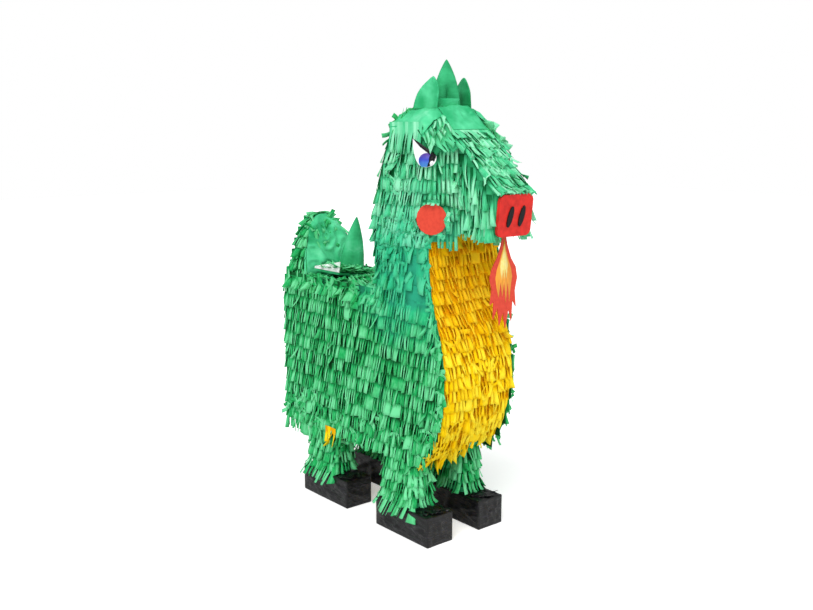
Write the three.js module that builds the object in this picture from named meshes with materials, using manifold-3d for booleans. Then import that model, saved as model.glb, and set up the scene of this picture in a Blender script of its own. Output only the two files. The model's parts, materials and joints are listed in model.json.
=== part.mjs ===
// A dragon pinata: a hollow corrugated-board animal on four boxed feet, with crepe-paper fringe glued on in rows.
// Millimetres, +Z up. The dragon faces -Y and its right side is -X. The origin is on the floor, under the
// middle of the whole object. Each fringe is a plain solid that fills the depth its strips take up.
import * as THREE from "three";
import { mergeVertices } from "three/addons/utils/BufferGeometryUtils.js";
import Module from "manifold-3d";

const wasm = await Module();
wasm.setup();

// ---- Driving dimensions ----
const board = 3; // corrugated board
const card = 1.2; // thin card of the glued-on pictures
const gap = 0.3; // glue line between pieces that touch

const bodyWidth = 116; // over the two flank panels
const bodyLength = 342; // chest to rump
const bellyZ = 108; // floor to the underside of the body
const backZ = 310; // floor to the top of the back
const chinZ = 394; // floor to the underside of the head
const crownZ = 540; // floor to the top of the head
const chestSweep = 44; // the chest's foot is set back this far behind its fullest part
const chestToNeck = 30; // the neck's front stands this far behind the chest
const neckDepth = 100; // neck's front to nape
const crownToNeck = 17; // the crown starts this far behind the neck's front
const crownLength = 41;
const ridgeWidth = 60; // flat middle of the head's top
const hipDrop = 22; // how far the top falls from there to the flanks

const snoutWidth = 58;
const snoutLength = 80; // neck's front to nose
const snoutHeight = 47; // at the nose
const cheekSweep = 20; // a cheek's inner edge stands this far ahead of its outer edge
const noseLean = 5; // the nose's top stands this far ahead of its bottom

const noseWidth = 55;
const noseHeight = 49;
const noseRadius = 8;
const noseThickness = 4;
const nostrilWidth = 8;
const nostrilHeight = 25;
const nostrilSpacing = 19;
const nostrilTilt = 14; // degrees, both the same way, as they were stuck on

const footWidth = 43;
const footLength = 104;
const footHeight = 39;
const footStandOut = 8; // a foot stands out this far past the flank panel
const footBehindChest = 20;
const footAheadOfRump = 50;
const legWidth = 30; // outside of a leg tube, across the body
const legDepth = 62; // outside of a leg tube, along the body
const legRadius = 9;
const legWall = 2; // rolled board
const legToHeel = 6; // back of a leg tube to the back of its foot
const legFit = 1; // clearance round a leg tube in its foot

const flapWidth = 84;
const flapLength = 60;
const flapFit = 1.5; // clearance round the flap in its opening
const flapLift = 8; // degrees that the flap stands open
const flapToTail = 8; // board left between the opening and the tail
const labelLength = 58;
const labelHeight = 15;

const hangerWidth = 60;
const hangerLength = 50;
const hangerHoleRadius = 5;
const hangerHoleSpacing = 30;

const tailInset = 9; // flank panel to the side of the tail
const tailHeight = 84;
const tailDepth = 36; // at its base, over both panels
const tailTaper = 0.62; // how much of its depth is gone at the top
const tailLean = 19; // degrees back from upright

const hornHeight = 59;
const hornRadius = 19; // across the head
const hornFlatness = 0.8; // its depth to its width
const spikeHeight = 80;
const spikeRadius = 18;
const hornWall = 2;
const hornSetBack = 16.5; // the crown's front edge to the middle of the horn
const earWidth = 37;
const earHeight = 38;
const earTurn = 81; // degrees that an ear faces out from straight ahead
const earSpacing = 54; // between the middles of the ears

const eyeWidth = 29;
const eyeHeight = 33;
const eyeZ = 489;
const blushRadius = 19;
const blushZ = 412;
const faceTurn = 60; // degrees that the eyes and cheek discs face out from straight ahead
const eyeSetBack = 4; // middle of an eye behind the middle of its facet
const blushSetForward = 5;

const flameWidth = 46;
const flameLength = 111;
const flameToNose = 11; // flame behind the nose, under the snout
const flameDrop = 0.9; // flame's top below the snout

const flankFringe = 7; // how far each fringe stands off its board
const chestFringe = 8;
const rumpFringe = 9;
const napeFringe = 7;
const bridgeFringe = 5;
const snoutFringe = 4;
const cornerFringe = 3.5; // over the corner of the cheek, under the eye
const backFringe = 4.5;
const tailFringe = 6;
const legFringe = 4.5;
const bellyFringe = 6;
const fringeHang = 16; // flank fringe below the edge of its board

// ---- Places that follow: y along the body, from the front of the front feet ----
const halfBody = bodyWidth / 2;
const seat = board + gap;
const inside = halfBody - seat; // half of what fits between the flank panels
const chestY = -footBehindChest;
const rumpY = chestY + bodyLength;
const neckY = chestY + chestToNeck;
const napeY = neckY + neckDepth;
const crownFrontY = neckY + crownToNeck;
const crownBackY = crownFrontY + crownLength;
const halfSnout = snoutWidth / 2;
const noseY = neckY - snoutLength;
const noseTopY = noseY - noseLean;
const rumpTopY = rumpY - 4;
const chestFootY = chestY + chestSweep + 4; // behind the chest's own fringe

// The bridge slopes from the crown down to the nose. Sloped boards are measured upright, so they look thicker.
const noseTopZ = chinZ + board + snoutHeight;
const bridgeSlope = (crownZ - noseTopZ) / (crownFrontY - noseTopY);
const upright = Math.hypot(1, bridgeSlope);
const bridgeZ = (y) => crownZ + (y - crownFrontY) * bridgeSlope;
const halfRidge = ridgeWidth / 2;
const hip = (x) => (Math.max(0, Math.abs(x) - halfRidge) * hipDrop) / (halfBody - halfRidge);
const hipZ = crownZ - hipDrop; // floor to the top of the flank panels
const snoutFloorZ = chinZ + seat;
const noseYAt = (z) => noseY - (noseLean * (z - snoutFloorZ)) / (noseTopZ - snoutFloorZ);

// ---- Materials ----
const paint = (color, roughness) => new THREE.MeshStandardMaterial({ color, roughness, metalness: 0 });
const kraft = paint("#b08a5b", 0.9);
const green = paint("#3fb877", 0.8);
const yellow = paint("#f2c80f", 0.8);
const black = paint("#1d1d24", 0.7);
const red = paint("#e2382a", 0.7);
const coral = paint("#e2532f", 0.7);
const white = paint("#f4f2f1", 0.6);

// ---- Ways of making a solid ----
const v2 = (x, y) => new THREE.Vector2(x, y);
const polygon = (points) => new THREE.Shape(points);
const rectangle = (x0, x1, y0, y1) => polygon([v2(x0, y0), v2(x1, y0), v2(x1, y1), v2(x0, y1)]);
const mirrored = (points) => points.map((p) => v2(-p.x, p.y)).reverse();
const symmetric = (half) => polygon([...half, ...mirrored(half)]);
const extrude = (shape, depth) =>
  new THREE.ExtrudeGeometry(shape, { depth, bevelEnabled: false, curveSegments: 8 });

// A plan outline (x, y) made into a slab from z0 up to z1.
const slabUp = (shape, z0, z1) => extrude(shape, z1 - z0).translate(0, 0, z0);

// A side-view outline (y, z) made into a slab from x0 across to x1.
const intoSideView = new THREE.Matrix4().makeBasis(
  new THREE.Vector3(0, 1, 0),
  new THREE.Vector3(0, 0, 1),
  new THREE.Vector3(1, 0, 0),
);
const slabAcross = (shape, x0, x1) => extrude(shape, x1 - x0).applyMatrix4(intoSideView).translate(x0, 0, 0);

// A front-view outline (x, z) made into a plate with its back at y = 0, facing -Y.
const plate = (shape, thickness) => extrude(shape, thickness).rotateX(Math.PI / 2);

// Points along a side-view curve, moved outwards. The curves run clockwise round the body as seen with the
// head on the left, so outwards is on their left. Each end is cut short by a length.
function alongCurve(curve, outwards = 0, cutStart = 0, cutEnd = 0) {
  const steps = 12;
  const points = Array.from({ length: steps + 1 }, (_, i) => {
    const along = curve.getTangentAt(i / steps);
    return curve.getPointAt(i / steps).add(v2(-along.y, along.x).multiplyScalar(outwards));
  });
  return cutShort(cutShort(points, cutStart).reverse(), cutEnd).reverse();
}

function cutShort(points, length) {
  let left = length;
  while (left > points[0].distanceTo(points[1])) {
    left -= points[0].distanceTo(points[1]);
    points.shift();
  }
  points[0].lerp(points[1], left / points[0].distanceTo(points[1]));
  return points;
}

// A strip bent along a side-view curve, from an inner to an outer distance outwards, across the body.
function bentStrip(curve, inner, outer, halfWidth, cutStart = 0, cutEnd = 0) {
  const outside = alongCurve(curve, outer, cutStart, cutEnd);
  const back = alongCurve(curve, inner, cutStart, cutEnd).reverse();
  return slabAcross(polygon([...outside, ...back]), -halfWidth, halfWidth);
}

// Moves each corner of a geometry to where a function puts it.
function reshape(geometry, move) {
  const at = geometry.attributes.position;
  const p = new THREE.Vector3();
  for (let i = 0; i < at.count; i++) {
    p.fromBufferAttribute(at, i);
    move(p);
    at.setXYZ(i, p.x, p.y, p.z);
  }
  return geometry;
}

// Cuts the top of an upright slab along the slope of the bridge, a distance below it.
const cutToBridge = (geometry, below) => {
  geometry.computeBoundingBox();
  const middle = (geometry.boundingBox.min.z + geometry.boundingBox.max.z) / 2;
  return reshape(geometry, (p) => {
    if (p.z > middle) p.z = bridgeZ(p.y) - hip(p.x) - below * upright;
  });
};

// The part of a falling side-view line that lies under a height.
const under = (points, z) => {
  const first = points.findIndex((p) => p.y < z);
  const [above, next] = [points[first - 1], points[first]];
  return [above.clone().lerp(next, (above.y - z) / (above.y - next.y)), ...points.slice(first)];
};

// A front-view outline (x, z) that follows the head's flat top and its falling sides, between two heights.
const roof = (low, high, half) =>
  polygon([
    v2(-half, low - hip(half)),
    v2(-halfRidge, low),
    v2(halfRidge, low),
    v2(half, low - hip(half)),
    v2(half, high - hip(half)),
    v2(halfRidge, high),
    v2(-halfRidge, high),
    v2(-half, high - hip(half)),
  ]);

function solidFrom(geometry) {
  const bare = geometry.clone();
  bare.deleteAttribute("normal");
  bare.deleteAttribute("uv");
  const merged = mergeVertices(bare, 1e-3);
  const vertProperties = new Float32Array(merged.attributes.position.array);
  const triVerts = new Uint32Array(merged.index.array);
  return new wasm.Manifold(new wasm.Mesh({ numProp: 3, vertProperties, triVerts }));
}

function geometryFrom(solid) {
  const mesh = solid.getMesh();
  return new THREE.BufferGeometry()
    .setAttribute("position", new THREE.BufferAttribute(mesh.vertProperties, 3))
    .setIndex(new THREE.BufferAttribute(mesh.triVerts, 1));
}

const subtract = (geometry, ...tools) =>
  geometryFrom(tools.reduce((solid, tool) => solid.subtract(solidFrom(tool)), solidFrom(geometry)));
const intersect = (geometry, tool) => geometryFrom(solidFrom(geometry).intersect(solidFrom(tool)));

// Cuts away whatever stands above the head's top and its falling sides, or above a distance below them.
function cutToRoof(geometry, below) {
  const over = plate(roof(-below, crownZ, 2 * halfBody), bodyLength);
  return subtract(geometry, over.translate(0, napeY + bodyLength / 2, crownZ));
}

function block(x0, x1, y0, y1, z0, z1) {
  const at = [(x0 + x1) / 2, (y0 + y1) / 2, (z0 + z1) / 2];
  return new THREE.BoxGeometry(x1 - x0, y1 - y0, z1 - z0).translate(...at);
}

function roundedRectangle(width, height, radius) {
  const [x, y] = [width / 2 - radius, height / 2 - radius];
  const shape = new THREE.Shape();
  shape.absarc(x, y, radius, 0, Math.PI / 2);
  shape.absarc(-x, y, radius, Math.PI / 2, Math.PI);
  shape.absarc(-x, -y, radius, Math.PI, 1.5 * Math.PI);
  shape.absarc(x, -y, radius, 1.5 * Math.PI, 2 * Math.PI);
  return shape;
}

// A rolled paper cone with bulging sides, open underneath.
function rolledCone(radius, height) {
  const half = (r, h) =>
    new THREE.CubicBezierCurve(v2(r, 0), v2(r * 1.02, h * 0.42), v2(r * 0.42, h * 0.84), v2(0, h)).getPoints(8);
  const profile = [...half(radius, height), ...half(radius - hornWall, height - 3 * hornWall).reverse()];
  return new THREE.LatheGeometry([...profile, profile[0].clone()], 20).rotateX(Math.PI / 2);
}

const pinata = new THREE.Group();

function group(parent = pinata) {
  const made = new THREE.Group();
  parent.add(made);
  return made;
}

function piece(parent, name, geometry, material) {
  const mesh = new THREE.Mesh(geometry, material);
  mesh.name = name;
  parent.add(mesh);
  return mesh;
}

// The same piece on the dragon's left (+X) and, mirrored, on its right (-X).
function pair(parent, name, geometry, material) {
  piece(parent, `${name}_left`, geometry, material);
  piece(parent, `${name}_right`, geometry, material).scale.x = -1;
}

// ---- Side view of the body, clockwise from the foot of the chest ----
const chestCurve = new THREE.SplineCurve([
  v2(chestY + chestSweep, bellyZ),
  v2(chestY + 0.3 * chestSweep, bellyZ + 42),
  v2(chestY, bellyZ + 104),
  v2(chestY + 8, backZ - 45),
  v2(chestY + 24, backZ + 5),
  v2(neckY, (backZ + chinZ) / 2 + 8),
  v2(neckY, chinZ - gap),
]);
const napeCurve = new THREE.SplineCurve([
  v2(crownBackY, crownZ),
  v2(crownBackY + 13, crownZ - 30),
  v2(napeY - 8, (crownZ + chinZ) / 2 - 14),
  v2(napeY + 2, chinZ + 11),
  v2(napeY, chinZ - 24),
  v2(napeY - 2, backZ),
]);
const rumpCurve = new THREE.SplineCurve([
  v2(rumpTopY, backZ),
  v2(rumpY, backZ - 60),
  v2(rumpY - 3, bellyZ + 60),
  v2(rumpY - 12, bellyZ),
]);
const bellyLine = new THREE.LineCurve(v2(rumpY - 12, bellyZ), v2(chestY + chestSweep, bellyZ));
const neckTop = v2(neckY, bridgeZ(neckY) - seat * upright - hipDrop);
const bridgeSeat = v2(crownFrontY - gap, hipZ - seat * upright);
const napeAboveChin = alongCurve(napeCurve).filter((p) => p.y > chinZ);
const napeBelowChin = alongCurve(napeCurve).filter((p) => p.y < chinZ - gap);

// ---- Board shell ----
const shell = group();
const flankOutline = [
  ...alongCurve(chestCurve),
  neckTop,
  bridgeSeat,
  v2(crownFrontY - gap, hipZ),
  ...under(alongCurve(napeCurve), hipZ),
  ...alongCurve(rumpCurve),
];
pair(shell, "flank_panel", slabAcross(polygon(flankOutline), halfBody - board, halfBody), kraft);
piece(shell, "chest_panel", bentStrip(chestCurve, -board, 0, inside), kraft);
piece(shell, "nape_panel", cutToRoof(bentStrip(napeCurve, -board, 0, inside, seat), seat), kraft);
piece(shell, "rump_panel", bentStrip(rumpCurve, -board, 0, inside, seat), kraft);
piece(shell, "belly_panel", bentStrip(bellyLine, -board, 0, inside, seat + 1, seat + 1), kraft);

// The back panel carries the fill opening, and two holes for a hanging cord with a second board under them.
const tailY = rumpTopY - tailDepth;
const openingBack = tailY - flapToTail;
const openingFront = openingBack - flapLength - 2 * flapFit;
const halfOpening = flapWidth / 2 + flapFit;
const hangerY = (napeY + openingFront) / 2;
const opening = () => rectangle(-halfOpening, halfOpening, openingFront, openingBack);
const withCordHoles = (shape) => {
  for (const side of [-1, 1]) {
    const hole = new THREE.Path();
    hole.absarc((side * hangerHoleSpacing) / 2, hangerY, hangerHoleRadius, 0, 2 * Math.PI, true);
    shape.holes.push(hole);
  }
  return shape;
};
const backShape = withCordHoles(rectangle(-inside, inside, napeY - 2 + gap, rumpTopY));
backShape.holes.push(opening());
piece(shell, "back_panel", slabUp(backShape, backZ - board, backZ), kraft);
const [hangerFront, hangerBack] = [hangerY - hangerLength / 2, hangerY + hangerLength / 2];
const hangerShape = withCordHoles(rectangle(-hangerWidth / 2, hangerWidth / 2, hangerFront, hangerBack));
piece(shell, "hanger_plate", slabUp(hangerShape, backZ - board - seat, backZ - seat), kraft);

// ---- Head: crown, chin and cheeks, with the bridge board over the cheeks and the snout's sides ----
const head = group();
const crownPanel = plate(roof(-board, 0, inside), crownLength - gap);
piece(head, "crown_panel", crownPanel.translate(0, crownBackY - gap, crownZ), kraft);

// The underside of the head runs from the neck to the nose, and carries the cheeks and the snout's sides.
const jawY = neckY - gap;
const faceHalf = (front, back) => [
  v2(halfSnout, front),
  v2(halfSnout, jawY - cheekSweep),
  v2(halfBody, jawY),
  v2(halfBody, back),
];
const jawShape = symmetric(faceHalf(noseY, jawY).slice(0, 3));
piece(head, "chin_panel", slabUp(jawShape, chinZ, chinZ + board), kraft);

// Its front end is cut back to where the leaning nose passes its underside.
const bridgeFrontY = noseYAt(noseTopZ - board * upright);
const bridgeShape = symmetric(faceHalf(bridgeFrontY, crownFrontY - 2 * gap));
const alongBridge = (low, high) => {
  const bent = plate(roof(low * upright, high * upright, halfBody + 1), crownFrontY - bridgeFrontY);
  const sloped = reshape(bent.translate(0, crownFrontY, 0), (p) => (p.z += bridgeZ(p.y)));
  return intersect(sloped, slabUp(bridgeShape, 0, 2 * crownZ));
};
piece(head, "bridge_panel", alongBridge(-board, 0), kraft);

// Lines across the cheek in plan, each given by how far it stands off the cheek board.
const cheek = { from: v2(halfSnout + gap, jawY - cheekSweep), to: v2(halfBody, jawY) };
const cheekLine = cheek.to.clone().sub(cheek.from);
const cheekAngle = cheekLine.angle();
const cheekYAt = (x, off) => cheek.from.y + (x - cheek.from.x) * Math.tan(cheekAngle) - off / Math.cos(cheekAngle);
const cheekXAt = (y, off) => cheek.from.x + (y - cheek.from.y + off / Math.cos(cheekAngle)) / Math.tan(cheekAngle);
const cheekPlan = polygon([
  v2(cheek.from.x, cheekYAt(cheek.from.x, 0)),
  cheek.to,
  v2(cheekXAt(jawY, -board), jawY),
  v2(cheek.from.x, cheekYAt(cheek.from.x, -board)),
]);
pair(head, "cheek_panel", cutToBridge(slabUp(cheekPlan, chinZ + seat, crownZ), seat), kraft);

const snoutSide = (back, z0, below) =>
  polygon([
    v2(noseYAt(z0), z0),
    v2(back, z0),
    v2(back, bridgeZ(back) - below),
    v2(noseTopY + 0.5, bridgeZ(noseTopY + 0.5) - below),
  ]);
const sideInHead = snoutSide(crownFrontY - board, snoutFloorZ, seat * upright);
pair(head, "snout_side", slabAcross(sideInHead, halfSnout - board, halfSnout), kraft);

// ---- Nose: a card-faced board across the end of the snout, leaning with it ----
const nose = group();
nose.position.set(0, noseY - gap, chinZ);
nose.rotation.x = Math.atan2(noseLean, noseTopZ - snoutFloorZ);
const noseMiddle = (noseTopZ - chinZ) / 2;
const nosePlate = plate(roundedRectangle(noseWidth, noseHeight, noseRadius), noseThickness);
piece(nose, "nose_plate", nosePlate.translate(0, 0, noseMiddle), red);
const nostril = new THREE.Shape();
nostril.absellipse(0, 0, nostrilWidth / 2, nostrilHeight / 2, 0, 2 * Math.PI);
const nostrilPlate = plate(nostril, card).rotateY(THREE.MathUtils.degToRad(nostrilTilt));
nostrilPlate.translate(0, -noseThickness - gap, noseMiddle - 1);
piece(nose, "nostril_left", nostrilPlate.clone().translate(nostrilSpacing / 2, 0, 0), black);
piece(nose, "nostril_right", nostrilPlate.translate(-nostrilSpacing / 2, 0, 0), black);

// ---- Flame: a printed card hung by its top edge under the snout ----
const flameY = noseY + flameToNose;
const flameOutline = [
  [0.06, 0],
  [0.12, 0.1],
  [0.26, 0.24],
  [0.44, 0.34],
  [0.5, 0.46],
  [0.42, 0.6],
  [0.47, 0.78],
  [0.34, 0.7],
  [0.31, 0.93],
  [0.2, 0.79],
  [0.09, 1],
  [0.0, 0.82],
  [-0.13, 0.96],
  [-0.2, 0.76],
  [-0.36, 0.88],
  [-0.35, 0.69],
  [-0.48, 0.72],
  [-0.42, 0.56],
  [-0.5, 0.44],
  [-0.42, 0.33],
  [-0.25, 0.23],
  [-0.12, 0.1],
  [-0.06, 0],
].map(([across, down]) => v2(across * flameWidth, -down * flameLength));
const flame = group();
flame.position.set(0, flameY, chinZ - flameDrop);
piece(flame, "flame_card", plate(polygon(flameOutline.reverse()), card).translate(0, card / 2, 0), coral);

// ---- Horn and ears on the crown ----
const crown = group();
crown.position.set(0, crownFrontY, crownZ + gap);
const horn = rolledCone(hornRadius, hornHeight).scale(1, hornFlatness, 1);
piece(crown, "head_horn", horn.translate(0, hornSetBack, 0), green);
const earShape = new THREE.Shape();
earShape.moveTo(-earWidth / 2, 0);
earShape.lineTo(earWidth / 2, 0);
const earTip = -0.22 * earWidth; // forward of the ear's middle
earShape.bezierCurveTo(earWidth * 0.45, earHeight * 0.5, earWidth * 0.15, earHeight, earTip, earHeight);
earShape.bezierCurveTo(-earWidth * 0.42, earHeight * 0.85, -earWidth / 2, earHeight * 0.4, -earWidth / 2, 0);
const ear = plate(earShape, 2).rotateZ(THREE.MathUtils.degToRad(earTurn));
pair(crown, "ear", ear.translate(earSpacing / 2, crownLength / 2, 0), green);

// ---- Legs and feet ----
const legs = group();
const footX = halfBody + footStandOut - footWidth / 2;
const legX = halfBody - legWidth / 2;
const frontHeel = footLength;
const rearHeel = rumpY - footAheadOfRump;
const footFloorZ = board;
const legRing = (outside, inner) => {
  const shape = roundedRectangle(legWidth + 2 * outside, legDepth + 2 * outside, legRadius + outside);
  shape.holes.push(roundedRectangle(legWidth + 2 * inner, legDepth + 2 * inner, legRadius + inner));
  return shape;
};
for (const [end, heel] of [["front", frontHeel], ["rear", rearHeel]]) {
  const legY = heel - legToHeel - legDepth / 2;
  const place = (geometry) => geometry.translate(legX, legY, 0);
  const [x0, x1, y0, y1] = [footX - footWidth / 2, footX + footWidth / 2, heel - footLength, heel];
  const hollow = block(x0 + board, x1 - board, y0 + board, y1 - board, footFloorZ, footHeight - board);
  const hole = roundedRectangle(legWidth + 2 * legFit, legDepth + 2 * legFit, legRadius + legFit);
  const cuff = place(slabUp(hole, footHeight - 2 * board, footHeight + board));
  const foot = subtract(block(x0, x1, y0, y1, 0, footHeight), hollow, cuff);
  pair(legs, `${end}_foot`, foot, black);
  const tube = slabUp(legRing(0, -legWall), footFloorZ + gap, bellyZ - gap);
  pair(legs, `${end}_leg`, place(tube), kraft);
  const cuffTop = bellyZ - fringeHang - gap;
  pair(legs, `${end}_leg_fringe`, place(slabUp(legRing(legFringe, gap), footHeight + gap, cuffTop)), green);
}

// ---- Tail: a front and a back panel with a rim bent round between them, leaning back ----
const tail = group();
tail.position.set(0, tailY, backZ + gap);
const tailSlope = Math.tan(THREE.MathUtils.degToRad(tailLean));
const leanBack = (geometry) =>
  reshape(geometry, (p) => (p.y = p.y * (1 - (tailTaper * p.z) / tailHeight) + p.z * tailSlope));
function tailArch(off) {
  const [w, h] = [halfBody - tailInset + off, tailHeight + off];
  const half = new THREE.CubicBezierCurve(v2(w, 0), v2(w * 0.9, h * 0.5), v2(w * 0.42, h), v2(0, h)).getPoints(10);
  return [...half, ...mirrored(half).slice(1)];
}
const tailRing = (outer, inner) => polygon([...tailArch(outer), ...tailArch(inner).reverse()]);
const tailPart = (shape, y0, y1) => leanBack(plate(shape, y1 - y0).translate(0, y1, 0));
piece(tail, "tail_front_panel", tailPart(polygon(tailArch(0)), 0, board), kraft);
piece(tail, "tail_back_panel", tailPart(polygon(tailArch(0)), tailDepth - board, tailDepth), kraft);
piece(tail, "tail_rim", tailPart(tailRing(0, -board), seat, tailDepth - seat), kraft);
piece(tail, "tail_side_fringe", tailPart(tailRing(tailFringe, gap), 0, tailDepth), green);
const tailBackShape = polygon(tailArch(tailFringe));
piece(tail, "tail_back_fringe", tailPart(tailBackShape, tailDepth + gap, tailDepth + tailFringe), green);

// ---- Fill flap: hinged on the dragon's left, with the spike on it and a label standing on its free edge ----
const flap = group();
const flapY = (openingFront + openingBack) / 2;
flap.position.set(flapWidth / 2 + flapFit / 2, flapY, backZ);
flap.rotation.y = THREE.MathUtils.degToRad(flapLift);
const flapEdge = -flapFit / 2 - flapWidth;
const halfFlap = flapLength / 2;
piece(flap, "fill_flap", block(flapEdge, -flapFit / 2, -halfFlap, halfFlap, -board, 0), kraft);
const spike = rolledCone(spikeRadius, spikeHeight).translate(flapEdge / 2, 0, gap);
piece(flap, "back_spike", spike, green);
const labelEdge = [v2(halfFlap - labelLength, gap), v2(halfFlap, gap), v2(halfFlap, 3)];
const labelShape = polygon([...labelEdge, v2(halfFlap - labelLength, labelHeight)]);
const label = slabAcross(labelShape, flapEdge, flapEdge + card);
piece(flap, "fill_label", label, white);

// ---- Fringes on the body ----
const fringe = group();
const flankEdge = [
  v2(rumpY - 12, bellyZ - fringeHang),
  v2(chestY + chestSweep, bellyZ - fringeHang),
  ...alongCurve(chestCurve),
  ...napeBelowChin.slice(0, 1).map((p) => v2(p.x, chinZ - gap)),
  ...napeBelowChin,
  ...alongCurve(rumpCurve),
];
const flankSlab = slabAcross(polygon(flankEdge), halfBody + gap, halfBody + flankFringe);
pair(fringe, "flank_fringe", flankSlab, green);
piece(fringe, "chest_fringe", bentStrip(chestCurve, gap, chestFringe, halfBody, 0, chestFringe), yellow);
piece(fringe, "rump_fringe", bentStrip(rumpCurve, gap, rumpFringe, halfBody, 3), green);
const napeFringeStrip = bentStrip(napeCurve, gap, napeFringe, halfBody, 0, backFringe + gap);
piece(fringe, "nape_fringe", cutToRoof(napeFringeStrip, 0), green);
const betweenLegs = rectangle(-legX + legWidth / 2 + gap, legX - legWidth / 2 - gap, chestFootY, rumpY - 12);
piece(fringe, "belly_fringe", slabUp(betweenLegs, bellyZ - bellyFringe, bellyZ - gap), yellow);
const backCover = withCordHoles(rectangle(-halfBody, halfBody, napeY - 2 + napeFringe + gap, tailY - gap));
backCover.holes.push(opening());
piece(fringe, "back_fringe", slabUp(backCover, backZ + gap, backZ + backFringe), green);

// ---- Fringes on the head ----
// A facet across the corner of the cheek fringe faces out by faceTurn. The eye and cheek disc lie on it.
const out = v2(Math.sin(THREE.MathUtils.degToRad(faceTurn)), -Math.cos(THREE.MathUtils.degToRad(faceTurn)));
const facetOff = out.dot(cheek.to) + cornerFringe;
const fringeX = halfBody + flankFringe;
const facetBack = v2(fringeX, (out.x * fringeX - facetOff) / -out.y);
const facetFront = (() => {
  // where the facet meets the cheek fringe's front: slide along the facet until the cheek line is reached
  const along = v2(out.y, -out.x);
  const normal = v2(Math.sin(cheekAngle), -Math.cos(cheekAngle));
  const target = normal.dot(cheek.to) + flankFringe;
  return facetBack.clone().addScaledVector(along, (target - normal.dot(facetBack)) / normal.dot(along));
})();
const cheekFringeX = halfSnout + snoutFringe + 2 * gap;
const cheekFringePlan = polygon([
  v2(cheekFringeX, cheekYAt(cheekFringeX, flankFringe)),
  facetFront,
  facetBack,
  v2(halfBody + gap, facetBack.y),
  v2(halfBody + gap, cheekYAt(halfBody + gap, gap)),
  v2(cheekFringeX, cheekYAt(cheekFringeX, gap)),
]);
pair(fringe, "cheek_fringe", cutToBridge(slabUp(cheekFringePlan, chinZ, crownZ), 0), green);
const headEdge = [
  v2(facetBack.y + gap, chinZ),
  v2(facetBack.y + gap, bridgeZ(facetBack.y + gap) - hipDrop),
  v2(crownFrontY, hipZ),
  ...under(napeAboveChin, hipZ),
  v2(napeAboveChin.at(-1).x, chinZ),
];
pair(fringe, "head_fringe", slabAcross(polygon(headEdge), halfBody + gap, fringeX), green);
const snoutCover = snoutSide(cheekYAt(halfSnout + snoutFringe, flankFringe) - gap, snoutFloorZ, 0);
pair(fringe, "snout_fringe", slabAcross(snoutCover, halfSnout + gap, halfSnout + snoutFringe), green);
piece(fringe, "bridge_fringe", alongBridge(gap, bridgeFringe), green);

// ---- Eyes and cheek discs: printed card on the facets ----
const facetMiddle = facetFront.clone().add(facetBack).multiplyScalar(0.5);
const facetAlong = v2(-out.y, out.x).normalize();
function onFacet(shape, setBack, z) {
  const at = facetMiddle.clone().addScaledVector(facetAlong, setBack).addScaledVector(out, gap);
  return plate(shape, card).rotateZ(THREE.MathUtils.degToRad(faceTurn)).translate(at.x, at.y, z);
}
const eyeShape = new THREE.Shape();
eyeShape.moveTo(eyeWidth / 2, eyeHeight / 2);
eyeShape.bezierCurveTo(eyeWidth * 0.5, eyeHeight * 0.1, eyeWidth * 0.4, -eyeHeight * 0.5, 0, -eyeHeight / 2);
const eyeFront = v2(-eyeWidth / 2, -eyeHeight * 0.1);
eyeShape.bezierCurveTo(-eyeWidth * 0.4, -eyeHeight * 0.5, -eyeWidth * 0.52, -eyeHeight * 0.3, eyeFront.x, eyeFront.y);
pair(fringe, "eye", onFacet(eyeShape, eyeSetBack, eyeZ), white);
const blush = new THREE.Shape();
blush.absarc(0, 0, blushRadius, 0, 2 * Math.PI);
pair(fringe, "cheek_disc", onFacet(blush, -blushSetForward, blushZ), coral);

// ---- The origin: on the floor, under the middle of the whole object ----
const whole = new THREE.Group();
whole.add(pinata);
pinata.updateMatrixWorld(true);
const middle = new THREE.Box3().setFromObject(pinata).getCenter(new THREE.Vector3());
pinata.position.set(-middle.x, -middle.y, 0);

export default whole;
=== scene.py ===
import json
import math
import random

import bmesh
import bpy
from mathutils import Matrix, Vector, noise


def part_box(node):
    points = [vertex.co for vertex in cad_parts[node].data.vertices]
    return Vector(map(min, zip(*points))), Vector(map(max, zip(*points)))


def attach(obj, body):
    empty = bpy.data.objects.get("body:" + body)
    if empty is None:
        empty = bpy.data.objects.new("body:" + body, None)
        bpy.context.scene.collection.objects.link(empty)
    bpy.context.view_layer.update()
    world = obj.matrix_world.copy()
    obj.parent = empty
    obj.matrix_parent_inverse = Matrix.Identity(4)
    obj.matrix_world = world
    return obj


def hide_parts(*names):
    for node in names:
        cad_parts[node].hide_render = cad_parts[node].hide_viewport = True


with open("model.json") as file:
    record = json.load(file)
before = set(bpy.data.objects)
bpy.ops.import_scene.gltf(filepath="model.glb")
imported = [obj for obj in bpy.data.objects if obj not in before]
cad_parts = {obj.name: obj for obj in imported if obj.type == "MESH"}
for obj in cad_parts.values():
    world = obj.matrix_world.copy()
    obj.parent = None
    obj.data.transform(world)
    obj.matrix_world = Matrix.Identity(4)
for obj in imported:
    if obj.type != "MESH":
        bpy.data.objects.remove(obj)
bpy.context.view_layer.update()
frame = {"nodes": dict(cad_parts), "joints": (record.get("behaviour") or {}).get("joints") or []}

# ---- Camera ----
# It stands ahead of the dragon's right shoulder at chest height of a seated child, looking slightly down.
camera_data = bpy.data.cameras.new("camera")
camera_data.sensor_width = 36
camera_data.lens = 43.17
camera = bpy.data.objects.new("camera", camera_data)
camera.location = (-0.820, -0.9838, 0.522)
camera.rotation_euler = (math.radians(79.5), 0, math.radians(-40))
bpy.context.scene.collection.objects.link(camera)
bpy.context.scene.camera = camera

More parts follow.
